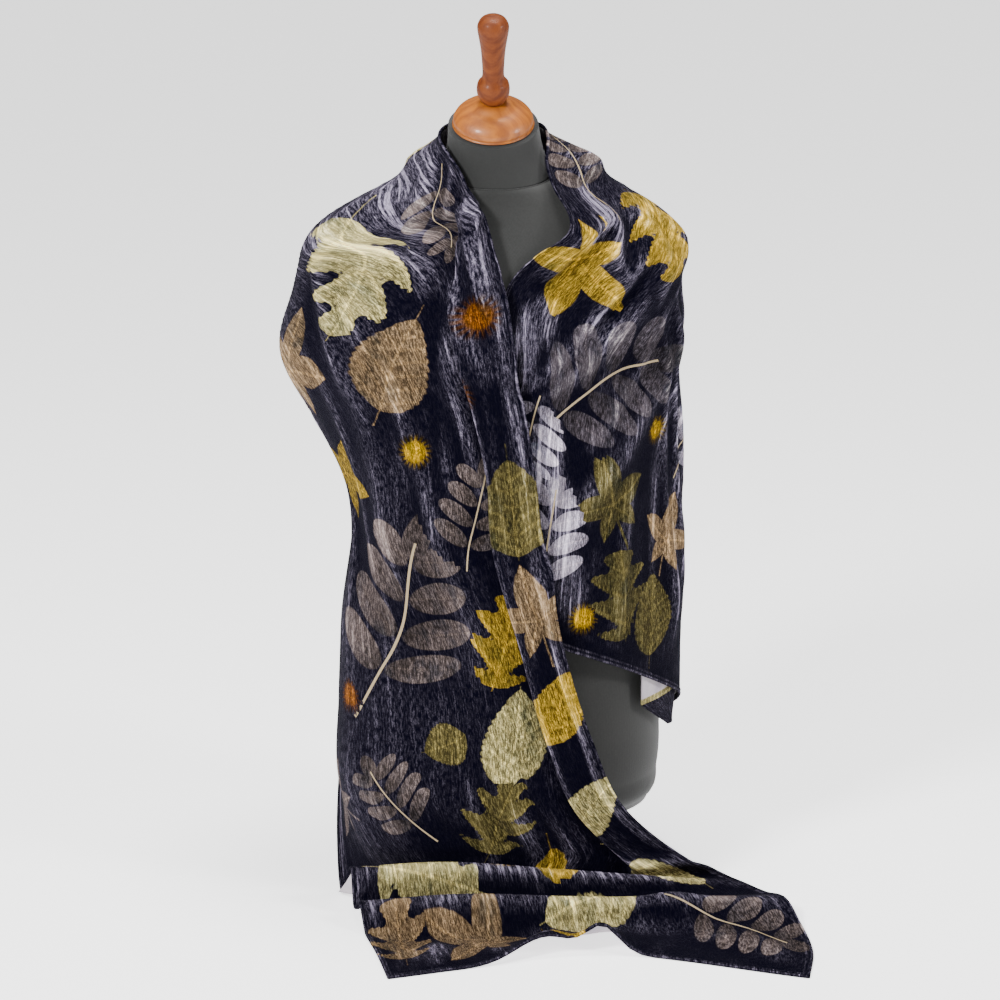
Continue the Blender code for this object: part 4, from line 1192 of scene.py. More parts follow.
@dataclass(frozen=True)
class VelvetFinish:
    """Dark printed velvet with crushed nap, lightened with painted sheen on fold crests, upward-facing
    cloth, the shoulders and listed patches.
    """
    ground: Colour = (0.0006, 0.0005, 0.0040, 1.0)
    # The pale lavender of the painted sheen and of the crushed nap, mixed into the dark ground.
    painted_sheen: Colour = (0.330, 0.290, 0.395, 1.0)
    sheen: float = 0.03
    sheen_rough: float = 0.25
    sheen_tint: Colour = (0.66, 0.60, 0.80, 1.0)
    faded: Colour = (0.22, 0.25, 0.30, 1.0)
    # gleam: the colour of a painted highlight laid on the print where the painted sheen is strongest.
    gleam: Colour = (0.80, 0.76, 0.66, 1.0)
    stalk: Colour = (0.36, 0.28, 0.17, 1.0)
    pile_depth: float = 0.0008

    def right_side(self, shapes: MotifShapes, name: str = "printed velvet") -> bpy.types.Material:
        """The velvet's right side with its print and painted sheen.

        Args:
            shapes: The drawn motifs.
            name: The material's name.

        Returns:
            The material.
        """
        material, g, shader = new_material(name)
        cloth = g.map("cloth")
        # The map read here holds painted sheen for each vertex: on fold crests, shoulders, upward-facing
        # cloth, listed patches, the hem's ridges and evenly on the turned corners.
        painted_sheen_map, _, _ = g.split(g.map("painted_sheen_map"))
        kind, tint, _ = g.split(g.map("motif_mark"))
        drawn = g.node("ShaderNodeGroup", {}, node_tree=shapes.tree)
        g.put(g.map("motif"), drawn.inputs["Place"])
        g.put(kind, drawn.inputs["Kind"])
        leaf, vein, shadow = (drawn.outputs[part] for part in ("Leaf", "Vein", "Shade"))

        streak = g.soft(g.noise(cloth, (640.0, 130.0, 1.0), 3.0, 0.65), 0.42, 0.62)
        grain = g.soft(g.noise(cloth, (1300.0, 620.0, 1.0), 2.0, 0.7), 0.36, 0.62)
        # lines: lengthwise streaks at random places, which paint streaks of highlight into the sheen and
        # into the print.
        lines = g.soft(g.noise(cloth, (170.0, 11.0, 1.0), 3.0, 0.6, 0.25), 0.47, 0.68)
        crushed = g.soft(g.noise(cloth, (26.0, 9.0, 1.0), 3.0, 0.6, 0.4), 0.45, 0.72)
        drift = g.soft(g.noise(cloth, (11.0, 8.0, 1.0), 2.0, 0.5), 0.36, 0.64)
        # worn holds the sheen: random crushed patches of the nap, plus the painted sheen from the map, cut
        # into lengthwise streaks.
        worn = g.scaled(g.times(crushed, drift), 0.30, painted_sheen_map)
        worn = g.times(worn, g.scaled(lines, 0.95, 0.30), clamp=True)
        speckle = g.times(streak, g.scaled(grain, 0.85, 0.15))
        filled = g.scaled(g.math("POWER", worn, 2.5), 0.55, speckle)
        # light: how far the dark ground is turned to the pale lavender of the painted sheen.
        light = g.times(g.scaled(worn, 0.99, 0.012), filled, clamp=True)
        ground = g.blend(light, self.ground, self.painted_sheen)

        dyes = g.node("ShaderNodeValToRGB", {0: tint})
        ramp = dyes.color_ramp
        ramp.interpolation = "CONSTANT"
        ramp.elements.remove(ramp.elements[1])
        for index, dye in enumerate(Tint):
            stop = ramp.elements[0] if index == 0 else ramp.elements.new(index / len(Tint))
            stop.color = dye.value
        mottle = g.soft(g.noise(cloth, (60.0, 30.0, 1.0), 4.0, 0.7), 0.38, 0.62)
        faded = g.blend(1.0, dyes.outputs[0], self.faded, "MULTIPLY")
        fading = g.times(g.scaled(drift, 0.75, 0.25), mottle)
        body = g.blend(fading, dyes.outputs[0], faded)
        bright = g.blend(1.0, body, (2.3, 2.2, 1.9, 1.0), "MULTIPLY")
        body = g.blend(g.times(vein, 0.8), body, bright)
        clouds = g.scaled(mottle, 0.55, 0.45)
        uneven = g.scaled(lines, 0.55, clouds)
        nap = g.times(g.scaled(speckle, 1.25, 0.15), uneven)
        # rise lightens the print by the nap's speckle and streaks, and by the painted sheen held in worn.
        rise = g.scaled(worn, 1.2, nap)
        rise = g.times(rise, shadow)
        body = g.blend(1.0, body, g.grey(rise), "MULTIPLY")
        # lit and gleam: a painted highlight on the print where the painted sheen is strongest.
        lit = g.times(g.math("POWER", worn, 2.0), g.times(speckle, 0.5))
        body = g.blend(lit, body, self.gleam)
        body = g.blend(g.soft(vein, 0.80, 0.95), body, self.stalk)
        g.put(g.blend(leaf, ground, body), shader.inputs["Base Color"])

        height = g.scaled(streak, 0.7, g.times(grain, 0.5))
        g.put(g.bump(height, self.pile_depth, 0.85), shader.inputs["Normal"])
        g.settle(shader, {"Roughness": 0.85, "Specular IOR Level": 0.02, "Sheen Weight": self.sheen,
                          "Sheen Roughness": self.sheen_rough, "Sheen Tint": self.sheen_tint})
        return material


@dataclass(frozen=True)
class BackingFinish:
    """The velvet's plain wrong side: a pale, smooth weave."""
    colour: Colour = (0.42, 0.37, 0.40, 1.0)
    shade: Colour = (0.23, 0.20, 0.25, 1.0)

    def wrong_side(self, name: str = "velvet backing") -> bpy.types.Material:
        """The backing.

        Args:
            name: The material's name.

        Returns:
            The material.
        """
        material, g, shader = new_material(name)
        cloth = g.map("cloth")
        u, v, _ = g.split(cloth)
        warp = g.math("SINE", g.times(u, 2 * math.pi * 1400.0))
        weft = g.math("SINE", g.times(v, 2 * math.pi * 1100.0))
        cloud = g.soft(g.noise(cloth, (26.0, 14.0, 1.0), 3.0, 0.6), 0.3, 0.75)
        g.put(g.blend(cloud, self.colour, self.shade), shader.inputs["Base Color"])
        g.put(g.bump(g.times(warp, weft), 0.00012, 0.5), shader.inputs["Normal"])
        g.settle(shader, {"Roughness": 0.7, "Sheen Weight": 0.2, "Sheen Roughness": 0.4})
        return material


@dataclass(frozen=True)
class JerseyFinish:
    """Fine knitted jersey stretched over the form."""
    name: str
    colour: Colour
    shade: Colour
    rib: float = 900.0

    def dress(self) -> bpy.types.Material:
        """The jersey.

        Returns:
            The material.
        """
        material, g, shader = new_material(self.name)
        place = g.node("ShaderNodeTexCoord").outputs["Object"]
        x, y, z = g.split(place)
        turn = g.math("ARCTAN2", x, y)
        wale = g.math("SINE", g.times(turn, self.rib * 0.16))
        course = g.math("SINE", g.times(z, 2 * math.pi * self.rib * 0.9))
        knit = g.times(wale, course)
        fluff = g.noise(place, (420.0, 420.0, 420.0), 2.0, 0.6)
        cloud = g.soft(g.noise(place, (7.0, 7.0, 7.0), 2.0, 0.5), 0.25, 0.8)
        body = g.blend(cloud, self.colour, self.shade)
        fine = g.scaled(fluff, 0.5, 0.75)
        g.put(g.blend(1.0, body, g.grey(fine), "MULTIPLY"), shader.inputs["Base Color"])
        g.put(g.bump(g.scaled(fluff, 1.2, knit), 0.00012, 0.5), shader.inputs["Normal"])
        g.settle(shader, {"Roughness": 0.88, "Sheen Weight": 0.18, "Sheen Roughness": 0.5,
                          "Specular IOR Level": 0.25})
        return material


@dataclass(frozen=True)
class WoodFinish:
    """Turned wood under a clear varnish."""
    name: str
    pale: Colour
    dark: Colour
    gloss: float = 0.30
    varnish: float = 0.18
    shine: float = 0.40
    tilt: float = 0.0

    def dress(self) -> bpy.types.Material:
        """The varnished wood.

        Returns:
            The material.
        """
        material, g, shader = new_material(self.name)
        place = g.node("ShaderNodeTexCoord").outputs["Object"]
        leaned = g.node("ShaderNodeMapping", {0: place, 2: (self.tilt, 0.5, 0.2)}).outputs[0]
        grain = g.noise(leaned, (55.0, 260.0, 30.0), 4.0, 0.62, 0.6)
        rings = g.node("ShaderNodeTexWave", {"Vector": leaned, "Scale": 34.0, "Distortion": 5.5,
                                             "Detail": 3.0, "Detail Scale": 1.6},
                       wave_type="BANDS", bands_direction="Y").outputs[1]
        pores = g.soft(g.noise(leaned, (300.0, 1600.0, 110.0), 2.0, 0.6), 0.52, 0.72)
        figure = g.scaled(rings, 0.45, g.times(g.soft(grain, 0.3, 0.72), 0.55))
        body = g.blend(figure, self.pale, self.dark)
        pored = g.blend(1.0, body, (0.72, 0.66, 0.6, 1.0), "MULTIPLY")
        g.put(g.blend(g.times(pores, 0.5), body, pored), shader.inputs["Base Color"])
        g.put(g.scaled(grain, 0.22, self.gloss), shader.inputs["Roughness"])
        g.put(g.bump(g.scaled(pores, -0.6, grain), 0.00012, 0.35), shader.inputs["Normal"])
        g.settle(shader, {"Specular IOR Level": self.shine, "Coat Weight": self.varnish,
                          "Coat Roughness": 0.14})
        return material


def finished(name: str, form: bmesh.types.BMesh, materials: Iterable[bpy.types.Material],
             stands_for: Sequence[str] = ()) -> bpy.types.Object:
    """Makes a piece from its mesh and rides it on the form.

    Args:
        name: The piece's name.
        form: Its mesh, which is used up.
        materials: Its materials, in order.
        stands_for: The plain solids that it replaces.

    Returns:
        The piece.
    """
    mesh = bpy.data.meshes.new(name)
    form.to_mesh(mesh)
    form.free()
    for polygon in mesh.polygons:
        polygon.use_smooth = True
    for material in materials:
        mesh.materials.append(material)
    piece = bpy.data.objects.new(name, mesh)
    bpy.context.scene.collection.objects.link(piece)
    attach(piece, "root")
    if stands_for:
        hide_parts(*stands_for)
    log.info("%s: %d faces", name, len(mesh.polygons))
    return piece


def lay_grid(form: bmesh.types.BMesh, points: np.ndarray) -> list[bmesh.types.BMVert]:
    """Adds a grid to a mesh and lays it on points.

    Args:
        form: The mesh.
        points: The points, by row and column.

    Returns:
        The grid's vertices, row after row.
    """
    rows, columns = points.shape[:2]
    made = bmesh.ops.create_grid(form, x_segments=columns - 1, y_segments=rows - 1, size=1.0)["verts"]
    for vertex, point in zip(made, points.reshape(-1, 3)):
        vertex.co = point
    return made


def add_wall(piece: bpy.types.Object, thickness: float) -> bpy.types.Modifier:
    """Gives a piece of cloth its thickness, half to each side."""
    wall = piece.modifiers.new("wall", "SOLIDIFY")
    wall.thickness = thickness
    wall.offset = 0.0
    return wall


class PaintedSheenPatch(NamedTuple):
    """A place on the flat cloth given painted sheen, so that the velvet shows pale there."""
    across: float
    along: float
    wide: float
    long: float
    light: float


@dataclass
class Scarf:
    """The scarf: its cloth and the narrow hem turned round all four edges."""
    drape: Drape
    leaf_print: LeafPrint
    thickness: float = 0.0016
    cells: tuple[int, int, int, int, int] = (12, 6, 8, 6, 76)
    rows: int = 392
    hem_section: tuple[tuple[float, float], ...] = (
        (-0.0013, 0.0), (-0.0008, 0.0012), (0.0008, 0.0019), (0.0022, 0.0016), (0.0030, 0.0009),
        (0.0040, 0.0015), (0.0054, 0.0019), (0.0066, 0.0014), (0.0072, 0.0006), (0.0072, -0.0007),
        (0.0058, -0.0014), (0.0030, -0.0015), (0.0006, -0.0014), (-0.0008, -0.0010))
    # hem_light: painted sheen at each point of the hem's section, brightest on the tops of its two ridges,
    # none in the groove or underneath.
    hem_light: tuple[float, ...] = (0.1, 0.45, 0.65, 0.2, 0.0, 0.15, 0.45, 0.2, 0.1,
                                    0.0, 0.0, 0.0, 0.0, 0.0)
    # Patches of painted sheen on the flat cloth: across, along, half width, half length and strength.
    patches: list[PaintedSheenPatch] = field(default_factory=lambda: [
        PaintedSheenPatch(0.085, 1.110, 0.060, 0.055, 0.90),
        PaintedSheenPatch(0.110, 1.060, 0.055, 0.050, 0.50),
        PaintedSheenPatch(0.018, 1.010, 0.010, 0.120, 0.45),
        PaintedSheenPatch(0.150, 1.020, 0.022, 0.080, 0.45),
        PaintedSheenPatch(0.400, 0.900, 0.060, 0.160, 0.45),
        PaintedSheenPatch(0.330, 1.010, 0.060, 0.060, 0.40),
        PaintedSheenPatch(0.020, 0.800, 0.006, 0.150, 0.35),
        PaintedSheenPatch(0.046, 0.700, 0.006, 0.180, 0.35),
        PaintedSheenPatch(0.010, 0.560, 0.010, 0.140, 0.50),
        PaintedSheenPatch(0.250, 0.720, 0.014, 0.120, 0.25),
        PaintedSheenPatch(0.290, 0.480, 0.080, 0.110, 0.14),
        PaintedSheenPatch(0.195, 0.370, 0.012, 0.070, 0.65),
        PaintedSheenPatch(0.155, 0.350, 0.010, 0.060, 0.65),
        PaintedSheenPatch(0.240, 0.390, 0.008, 0.070, 0.55),
        PaintedSheenPatch(0.060, 1.500, 0.013, 0.055, 1.35),
        PaintedSheenPatch(0.100, 1.530, 0.014, 0.040, 0.55),
        PaintedSheenPatch(0.050, 1.655, 0.022, 0.045, 1.40),
        PaintedSheenPatch(0.085, 1.625, 0.016, 0.035, 0.90),
        PaintedSheenPatch(0.150, 1.600, 0.030, 0.020, 0.55),
        PaintedSheenPatch(0.100, 1.760, 0.032, 0.060, 1.00),
        PaintedSheenPatch(0.125, 1.830, 0.034, 0.065, 1.05),
        PaintedSheenPatch(0.148, 1.900, 0.032, 0.050, 0.90),
        PaintedSheenPatch(0.300, 1.700, 0.012, 0.220, 0.70),
        PaintedSheenPatch(0.345, 1.720, 0.010, 0.200, 0.60),
        PaintedSheenPatch(0.240, 0.250, 0.240, 0.016, 0.35),
        PaintedSheenPatch(0.180, 0.120, 0.120, 0.030, 0.30),
        PaintedSheenPatch(0.420, 0.070, 0.060, 0.040, 0.40),
    ])
    patch_core: float = 0.35
    # The highest painted sheen that a vertex may have.
    most_painted_sheen: float = 1.4
    crest_reaches: tuple[int, int] = (2, 4)
    crest_edge: int = 4
    least_span: float = 0.004
    crest_limits: tuple[float, float] = (-0.1, 0.3)
    hem_rows: int = 480
    hem_end_rows: int = 150
    hem_probe: float = 0.002
    hem_lowest: float = 0.0003

    def columns(self) -> np.ndarray:
        """Places of the grid lines across the scarf, by leg of the pleat."""
        places = [0.0]
        for leg, count in enumerate(self.cells):
            places += [leg + (i + 1) / count for i in range(count)]
        return np.minimum(np.array(places), LAST_LEG)

    def build(self) -> list[bpy.types.Object]:
        """Makes the cloth and its hem.

        Returns:
            The cloth, the hem and the turned corners.
        """
        shapes = MotifShapes()
        velvet = VelvetFinish().right_side(shapes)
        backing = BackingFinish().wrong_side()
        cloth = self.build_cloth(velvet, backing)
        hem = self.build_hem(velvet)
        return [cloth, hem] + [corner.build(velvet, backing) for corner in turned_corners()]

    def build_cloth(self, velvet: bpy.types.Material, backing: bpy.types.Material) -> bpy.types.Object:
        """Lays a grid on the drape and gives it the cloth's thickness.

        Args:
            velvet: The right side's material.
            backing: The wrong side's material.

        Returns:
            The cloth.
        """
        columns = self.columns()
        along = np.linspace(0.0, self.drape.length, self.rows + 1)
        leg_grid, along_grid = np.meshgrid(columns, along)
        legs, alongs = leg_grid.ravel(), along_grid.ravel()
        points = self.drape.cloth_point(legs, alongs)
        flat = self.drape.pleat_path(legs, alongs)[2]
        form = bmesh.new()
        lay_grid(form, points.reshape(self.rows + 1, len(columns), 3))
        bmesh.ops.reverse_faces(form, faces=form.faces)
        cloth = finished("scarf_cloth", form, [velvet, backing],
                         ["scarf_floor_end", "scarf_long_end", "scarf_back", "scarf_short_end"])
        # worn holds painted sheen: crests, shoulders and upward-facing cloth, with the listed patches
        # added.
        worn = self.painted_sheen(points.reshape(self.rows + 1, len(columns), 3)).ravel()
        for patch in self.patches:
            off = np.hypot((flat - patch.across) / patch.wide, (alongs - patch.along) / patch.long)
            worn += patch.light * (1.0 - smooth_step(self.patch_core, 1.0, off))
        legs_of_faces = np.tile((columns[1:] + columns[:-1]) / 2, self.rows)
        shown = (legs_of_faces < 1.0) | (legs_of_faces > 4.0)
        worn = np.clip(worn, 0.0, self.most_painted_sheen)
        self.map_cloth(cloth.data, np.stack([flat, alongs], axis=1), worn, shown)
        wall = add_wall(cloth, self.thickness)
        wall.material_offset = 1
        wall.material_offset_rim = 0
        return cloth

    def map_cloth(self, mesh: bpy.types.Mesh, flat: np.ndarray, painted_sheen: np.ndarray,
                  shown: Optional[np.ndarray] = None) -> None:
        """Writes the flat cloth's coordinates, the painted sheen and the print into a mesh.

        Args:
            mesh: The mesh.
            flat: For each vertex, its place on the flat cloth.
            painted_sheen: For each vertex, how much painted sheen it has, from 0 to 1.
            shown: On the cloth, which of its faces lie outside the pleat's folds.
        """
        corners = corner_points(mesh)
        painted_sheen_map = np.stack([painted_sheen, 0 * painted_sheen], axis=1)
        write_maps(mesh, {"cloth": flat[corners], "painted_sheen_map": painted_sheen_map[corners]})
        self.leaf_print.paint(mesh, shown)

    def painted_sheen(self, points: np.ndarray) -> np.ndarray:
        """Painted sheen: most on the crests of folds, on cloth that faces upward and on the shoulders.

        Args:
            points: The cloth's points, by row and column.

        Returns:
            A value from 0 to 1 for each point.
        """
        onward = np.gradient(points, axis=0)
        across = np.gradient(points, axis=1)
        normal = unit(np.cross(onward, across))
        crest = np.zeros(points.shape[:2])
        for reach in self.crest_reaches:
            for axis in (0, 1):
                ahead = np.roll(points, -reach, axis=axis)
                behind = np.roll(points, reach, axis=axis)
                span = np.linalg.norm(ahead - behind, axis=2)
                rise = np.einsum("ijk,ijk->ij", points - (ahead + behind) / 2, normal)
                crest += np.clip(rise / np.maximum(span, self.least_span), *self.crest_limits)
        crest[:self.crest_edge, :] = crest[-self.crest_edge:, :] = 0.0
        # upward and high: painted highlight on cloth that faces up and on the upper shoulders and collar.
        upward = smooth_step(0.25, 0.95, normal[:, :, 2]) * smooth_step(0.20, 0.50, points[:, :, 2])
        high = smooth_step(0.66, 0.79, points[:, :, 2])
        return np.clip(crest * 2.6 - 0.06, 0.0, 0.75) + 0.10 * upward + 0.14 * high

    def build_hem(self, velvet: bpy.types.Material) -> bpy.types.Object:
        """Turns a narrow hem round the four edges.

        Args:
            velvet: The cloth's material.

        Returns:
            The hem.
        """
        form = bmesh.new()
        flats, worn = [], []
        length = self.drape.length
        for across, at_start in ((True, True), (True, False), (False, True), (False, False)):
            count = self.hem_end_rows if across else self.hem_rows
            place = np.linspace(0.0, 1.0, count + 1)
            inwards = 1.0 if at_start else -1.0
            points = []
            for inward, height in self.hem_section:
                step = max(inward, 0.0) * inwards
                if across:
                    leg = np.minimum(place * 5.0, LAST_LEG)
                    along = np.full_like(place, (0.0 if at_start else length) + step)
                    further = (leg, along + self.hem_probe * inwards)
                else:
                    along = place * length
                    starts, _, _ = self.drape.pleat_starts(along)
                    wide = starts[1] if at_start else self.drape.width - starts[4]
                    leg = (0.0 if at_start else LAST_LEG) + step / wide
                    further = (leg + self.hem_probe * inwards / wide, along)
                edge = self.drape.cloth_point(leg, along)
                outward = unit(edge - self.drape.cloth_point(*further))
                normal = self.drape.outward(leg, along)
                spot = edge + normal * height + outward * max(-inward, 0.0)
                spot[:, 2] = np.maximum(spot[:, 2], self.hem_lowest)
                points.append(spot)
                flats.append((self.drape.pleat_path(leg, along)[2], along))
            self.tube(form, np.array(points))
            # worn holds the hem's painted sheen, one value for each point of its section.
            worn += [np.full(len(place), light) for light in self.hem_light]
        flat = np.concatenate([np.stack(pair, axis=1) for pair in flats])
        bmesh.ops.recalc_face_normals(form, faces=form.faces)
        hem = finished("scarf_hem", form, [velvet])
        self.map_cloth(hem.data, flat, np.concatenate(worn))
        return hem

    @staticmethod
    def tube(form: bmesh.types.BMesh, points: np.ndarray) -> None:
        """Adds a closed tube: a grid rolled up round its section.

        Args:
            form: The mesh that it is added to.
            points: Its points, by place in the section and by row.
        """
        rows = points.shape[1]
        made = lay_grid(form, points)
        sides = [set(made[:rows]), set(made[-rows:])]
        edges = [edge for edge in {edge for vertex in made for edge in vertex.link_edges}
                 if any(side.issuperset(edge.verts) for side in sides)]
        bmesh.ops.bridge_loops(form, edges=edges)
        open_edges = [edge for edge in form.edges if edge.is_boundary]
        bmesh.ops.holes_fill(form, edges=open_edges)


class Side(Enum):
    """What shows on a turned corner."""
    WRONG = 0
    PRINTED = 1
    DARK = 2


class FlapLine(NamedTuple):
    """A line across a turned corner, from end to end, and what shows from it to the next."""
    left: tuple[float, float, float]
    right: tuple[float, float, float]
    side: Side


@dataclass
class TurnedCorner:
    """A corner of the cloth that is folded back, so that its wrong side shows."""
    name: str
    lines: Sequence[FlapLine]
    bulge: float = 0.003
    thickness: float = 0.0014
    across: int = 14
    finer: int = 6
    roll_at: float = 1.5
    # pile_light: painted sheen laid evenly over the whole corner.
    pile_light: float = 0.35
    printed_spot: tuple[float, float] = (0.5, 0.06)

    def build(self, velvet: bpy.types.Material, backing: bpy.types.Material) -> bpy.types.Object:
        """Makes the corner.

        Args:
            velvet: The right side's material.
            backing: The wrong side's material.

        Returns:
            The corner.
        """
        rows = np.arange(len(self.lines), dtype=float)
        places = np.linspace(0.0, rows[-1], int(rows[-1]) * self.finer + 1)
        lefts = curve(rows, np.array([line.left for line in self.lines]), places)
        rights = curve(rows, np.array([line.right for line in self.lines]), places)
        share = np.linspace(0.0, 1.0, self.across + 1)[None, :, None]
        points = lefts[:, None, :] * (1 - share) + rights[:, None, :] * share
        chord = rights[0] - lefts[0]
        outward = np.cross(chord, (0.0, 0.0, 1.0)) / max(np.linalg.norm(chord), SHORTEST)
        from_roll = places - self.roll_at
        roll = 0.5 + 0.5 * np.cos(2 * math.pi * from_roll) * (np.abs(from_roll) < 0.5)
        swell = np.sin(math.pi * share) + roll[:, None, None] / 2
        points = points + outward * swell * self.bulge
        form = bmesh.new()
        lay_grid(form, points)
        sides = np.repeat([line.side.value for line in self.lines[:-1]], self.finer * self.across)
        for face, side in zip(form.faces, sides):
            face.material_index = 1 if side == Side.WRONG.value else 0
            if face.normal @ Vector(outward) < 0.0:
                face.normal_flip()
        corner = finished(self.name, form, [velvet, backing])
        corners = corner_points(corner.data)
        steps = np.linalg.norm(points - points[:1, :1], axis=2)
        beside = share[0, :, 0] * np.linalg.norm(chord) + 0 * steps
        flat = np.stack([beside, steps], axis=2).reshape(-1, 2)
        printed = (np.repeat(sides, 4) == Side.PRINTED.value)[:, None]
        mark = (float(Kind.OVAL.value), 0.5 / len(Tint))
        write_maps(corner.data, {"cloth": flat[corners],
                                 "painted_sheen_map": np.full((len(corners), 2), (self.pile_light, 0.0)),
                                 "motif": np.where(printed, self.printed_spot, BARE_SPOT),
                                 "motif_mark": np.where(printed, mark, (0.0, 0.0))})
        add_wall(corner, self.thickness)
        return corner


def turned_corners() -> list[TurnedCorner]:
    """The short end's corner, folded back below its hem, and the lying end's on the floor."""
    return [
        TurnedCorner("scarf_short_corner", [
            FlapLine((0.1502, -0.0725, 0.2595), (0.1880, -0.0010, 0.2150), Side.WRONG),
            FlapLine((0.1504, -0.0738, 0.2100), (0.1880, -0.0010, 0.2060), Side.PRINTED),
            FlapLine((0.1510, -0.0736, 0.2035), (0.1884, -0.0010, 0.1985), Side.DARK),
            FlapLine((0.1655, -0.0548, 0.1860), (0.1876, -0.0060, 0.1880), Side.DARK),
            FlapLine((0.1800, -0.0300, 0.1670), (0.1845, -0.0200, 0.1680), Side.DARK)]),
        TurnedCorner("scarf_floor_corner", [
            FlapLine((-0.1570, -0.1415, 0.0400), (-0.1520, -0.1420, 0.0413), Side.WRONG),
            FlapLine((-0.1650, -0.1250, 0.0205), (-0.1525, -0.1365, 0.0250), Side.WRONG),
            FlapLine((-0.1730, -0.1070, 0.0032), (-0.1535, -0.1310, 0.0095), Side.WRONG)], bulge=0.001),
    ]


@dataclass
class DressForm:
    """The limbless form: torso, neck, the seam between them, and the wooden cap with its finial."""
    shape: TorsoShape
    torso_sides: int = 128
    torso_rows: int = 90
    neck_sides: int = 96
    seam_gap: float = 0.0003
    cap_seat: float = 0.0008
    cap_height: float = 0.0270
    lathe_steps: int = 96
    row_crowding: float = 0.35
    neck_rows: int = 24
    neck_radii: tuple[tuple[float, float], ...] = (
        (0.0, 0.0590), (0.25, 0.0545), (0.55, 0.0500), (0.85, 0.0478), (1.0, 0.0470))
    piping_radius: float = 0.0008
    piping_sunk: float = 0.0006
    piping_sides: int = 10
    cap_profile: tuple[tuple[float, float], ...] = (
        (0.0, 0.0270), (0.0150, 0.0266), (0.0235, 0.0216), (0.0305, 0.0184), (0.0368, 0.0142),
        (0.0406, 0.0094), (0.0418, 0.0054), (0.0412, 0.0018), (0.0395, 0.0), (0.0, 0.0))
    finial_profile: tuple[tuple[float, float], ...] = (
        (0.0, 0.1010), (0.0066, 0.1004), (0.0127, 0.0975), (0.0160, 0.0915), (0.0163, 0.0860),
        (0.0148, 0.0760), (0.0128, 0.0620), (0.0116, 0.0460), (0.0112, 0.0330), (0.0127, 0.0270),
        (0.0160, 0.0225), (0.0172, 0.0160), (0.0166, 0.0095), (0.0140, 0.0040), (0.0105, 0.0), (0.0, 0.0))

    def build(self) -> list[bpy.types.Object]:
        """Makes and dresses the form's pieces.

        Returns:
            The pieces.
        """
        torso_jersey = JerseyFinish("torso jersey", (0.0200, 0.0200, 0.0190, 1.0),
                                    (0.0145, 0.0150, 0.0145, 1.0))
        # The neck's jersey is the torso's jersey made darker: painted shade on the neck, which the seam's
        # piping shares.
        neck_jersey = JerseyFinish("neck jersey", (0.0155, 0.0155, 0.0150, 1.0),
                                   (0.0110, 0.0115, 0.0110, 1.0))
        cap_wood = WoodFinish("light wood", (0.33, 0.100, 0.008, 1.0), (0.185, 0.046, 0.004, 1.0),
                              gloss=0.40, varnish=0.10, tilt=0.35)
        finial_wood = WoodFinish("red wood", (0.150, 0.034, 0.003, 1.0), (0.070, 0.012, 0.001, 1.0),
                                 gloss=0.50, varnish=0.03, shine=0.20, tilt=0.35)
        knit = torso_jersey.dress()
        neck_knit = neck_jersey.dress()
        return [self.build_torso(knit), self.build_neck(neck_knit), self.build_seam(neck_knit),
                self.build_turned("form_cap", self.cap_profile, self.cap_seat, cap_wood.dress(),
                                  ["neck_cap"]),
                self.build_turned("form_finial", self.finial_profile,
                                  self.cap_seat + self.cap_height + self.seam_gap, finial_wood.dress(),
                                  ["finial"])]

    def torso_ring(self, ring: Ring) -> list[Vector]:
        """Points of one level outline of the torso."""
        points = []
        for i in range(self.torso_sides):
            turn = 2 * math.pi * i / self.torso_sides
            c, s = math.cos(turn), math.sin(turn)
            x = ring.half_width * math.copysign(abs(c) ** (2 / ring.power), c)
            y = ring.half_depth * math.copysign(abs(s) ** (2 / ring.power), s)
            points.append(Vector((ring.centre_x + x, ring.centre_y + y, ring.z)))
        return points

    @staticmethod
    def leaning_ring(centre: Vector, radius: float, tilt: float, sides: int) -> list[Vector]:
        """Points of a circle whose plane leans forward by the tilt."""
        lean = Matrix.Rotation(tilt, 3, "X")
        return [centre + lean @ Vector((radius * math.cos(2 * math.pi * i / sides),
                                        radius * math.sin(2 * math.pi * i / sides), 0.0))
                for i in range(sides)]

    @staticmethod
    def loft(rings: Sequence[Sequence[Vector]]) -> bmesh.types.BMesh:
        """A closed skin through rings of equal point counts.

        Args:
            rings: The rings, foot to top.

        Returns:
            The skin.
        """
        form = bmesh.new()
        sides = len(rings[0])
        below: list[bmesh.types.BMEdge] = []
        for number, ring in enumerate(rings):
            ends = number in (0, len(rings) - 1)
            made = bmesh.ops.create_circle(form, cap_ends=ends, segments=sides, radius=1.0)
            for vertex, point in zip(made["verts"], ring):
                vertex.co = point
            mine = set(made["verts"])
            edges = [edge for edge in {e for v in mine for e in v.link_edges}
                     if edge.verts[0] in mine and edge.verts[1] in mine]
            if below:
                bmesh.ops.bridge_loops(form, edges=below + edges)
            below = edges
        bmesh.ops.recalc_face_normals(form, faces=form.faces)
        return form

    def build_torso(self, knit: bpy.types.Material) -> bpy.types.Object:
        """The torso, from its foot to the neck's seam."""
        table = np.array(self.shape.rings)
        share = np.linspace(0.0, 1.0, self.torso_rows)
        share = self.row_crowding * share ** 2.2 + (1.0 - self.row_crowding) * share
        heights = table[0, 0] + (table[-1, 0] - table[0, 0]) * share
        heights = np.unique(np.concatenate([heights, table[:, 0]]))
        values = curve(table[:, 0], table[:, 1:], heights)
        rings = [self.torso_ring(Ring(z, *row)) for z, row in zip(heights, values)]
        rings.append(self.leaning_ring(self.shape.seam_centre, self.shape.seam_radius,
                                       self.shape.seam_tilt, self.torso_sides))
        return finished("form_body", self.loft(rings), [knit], ["form_torso"])

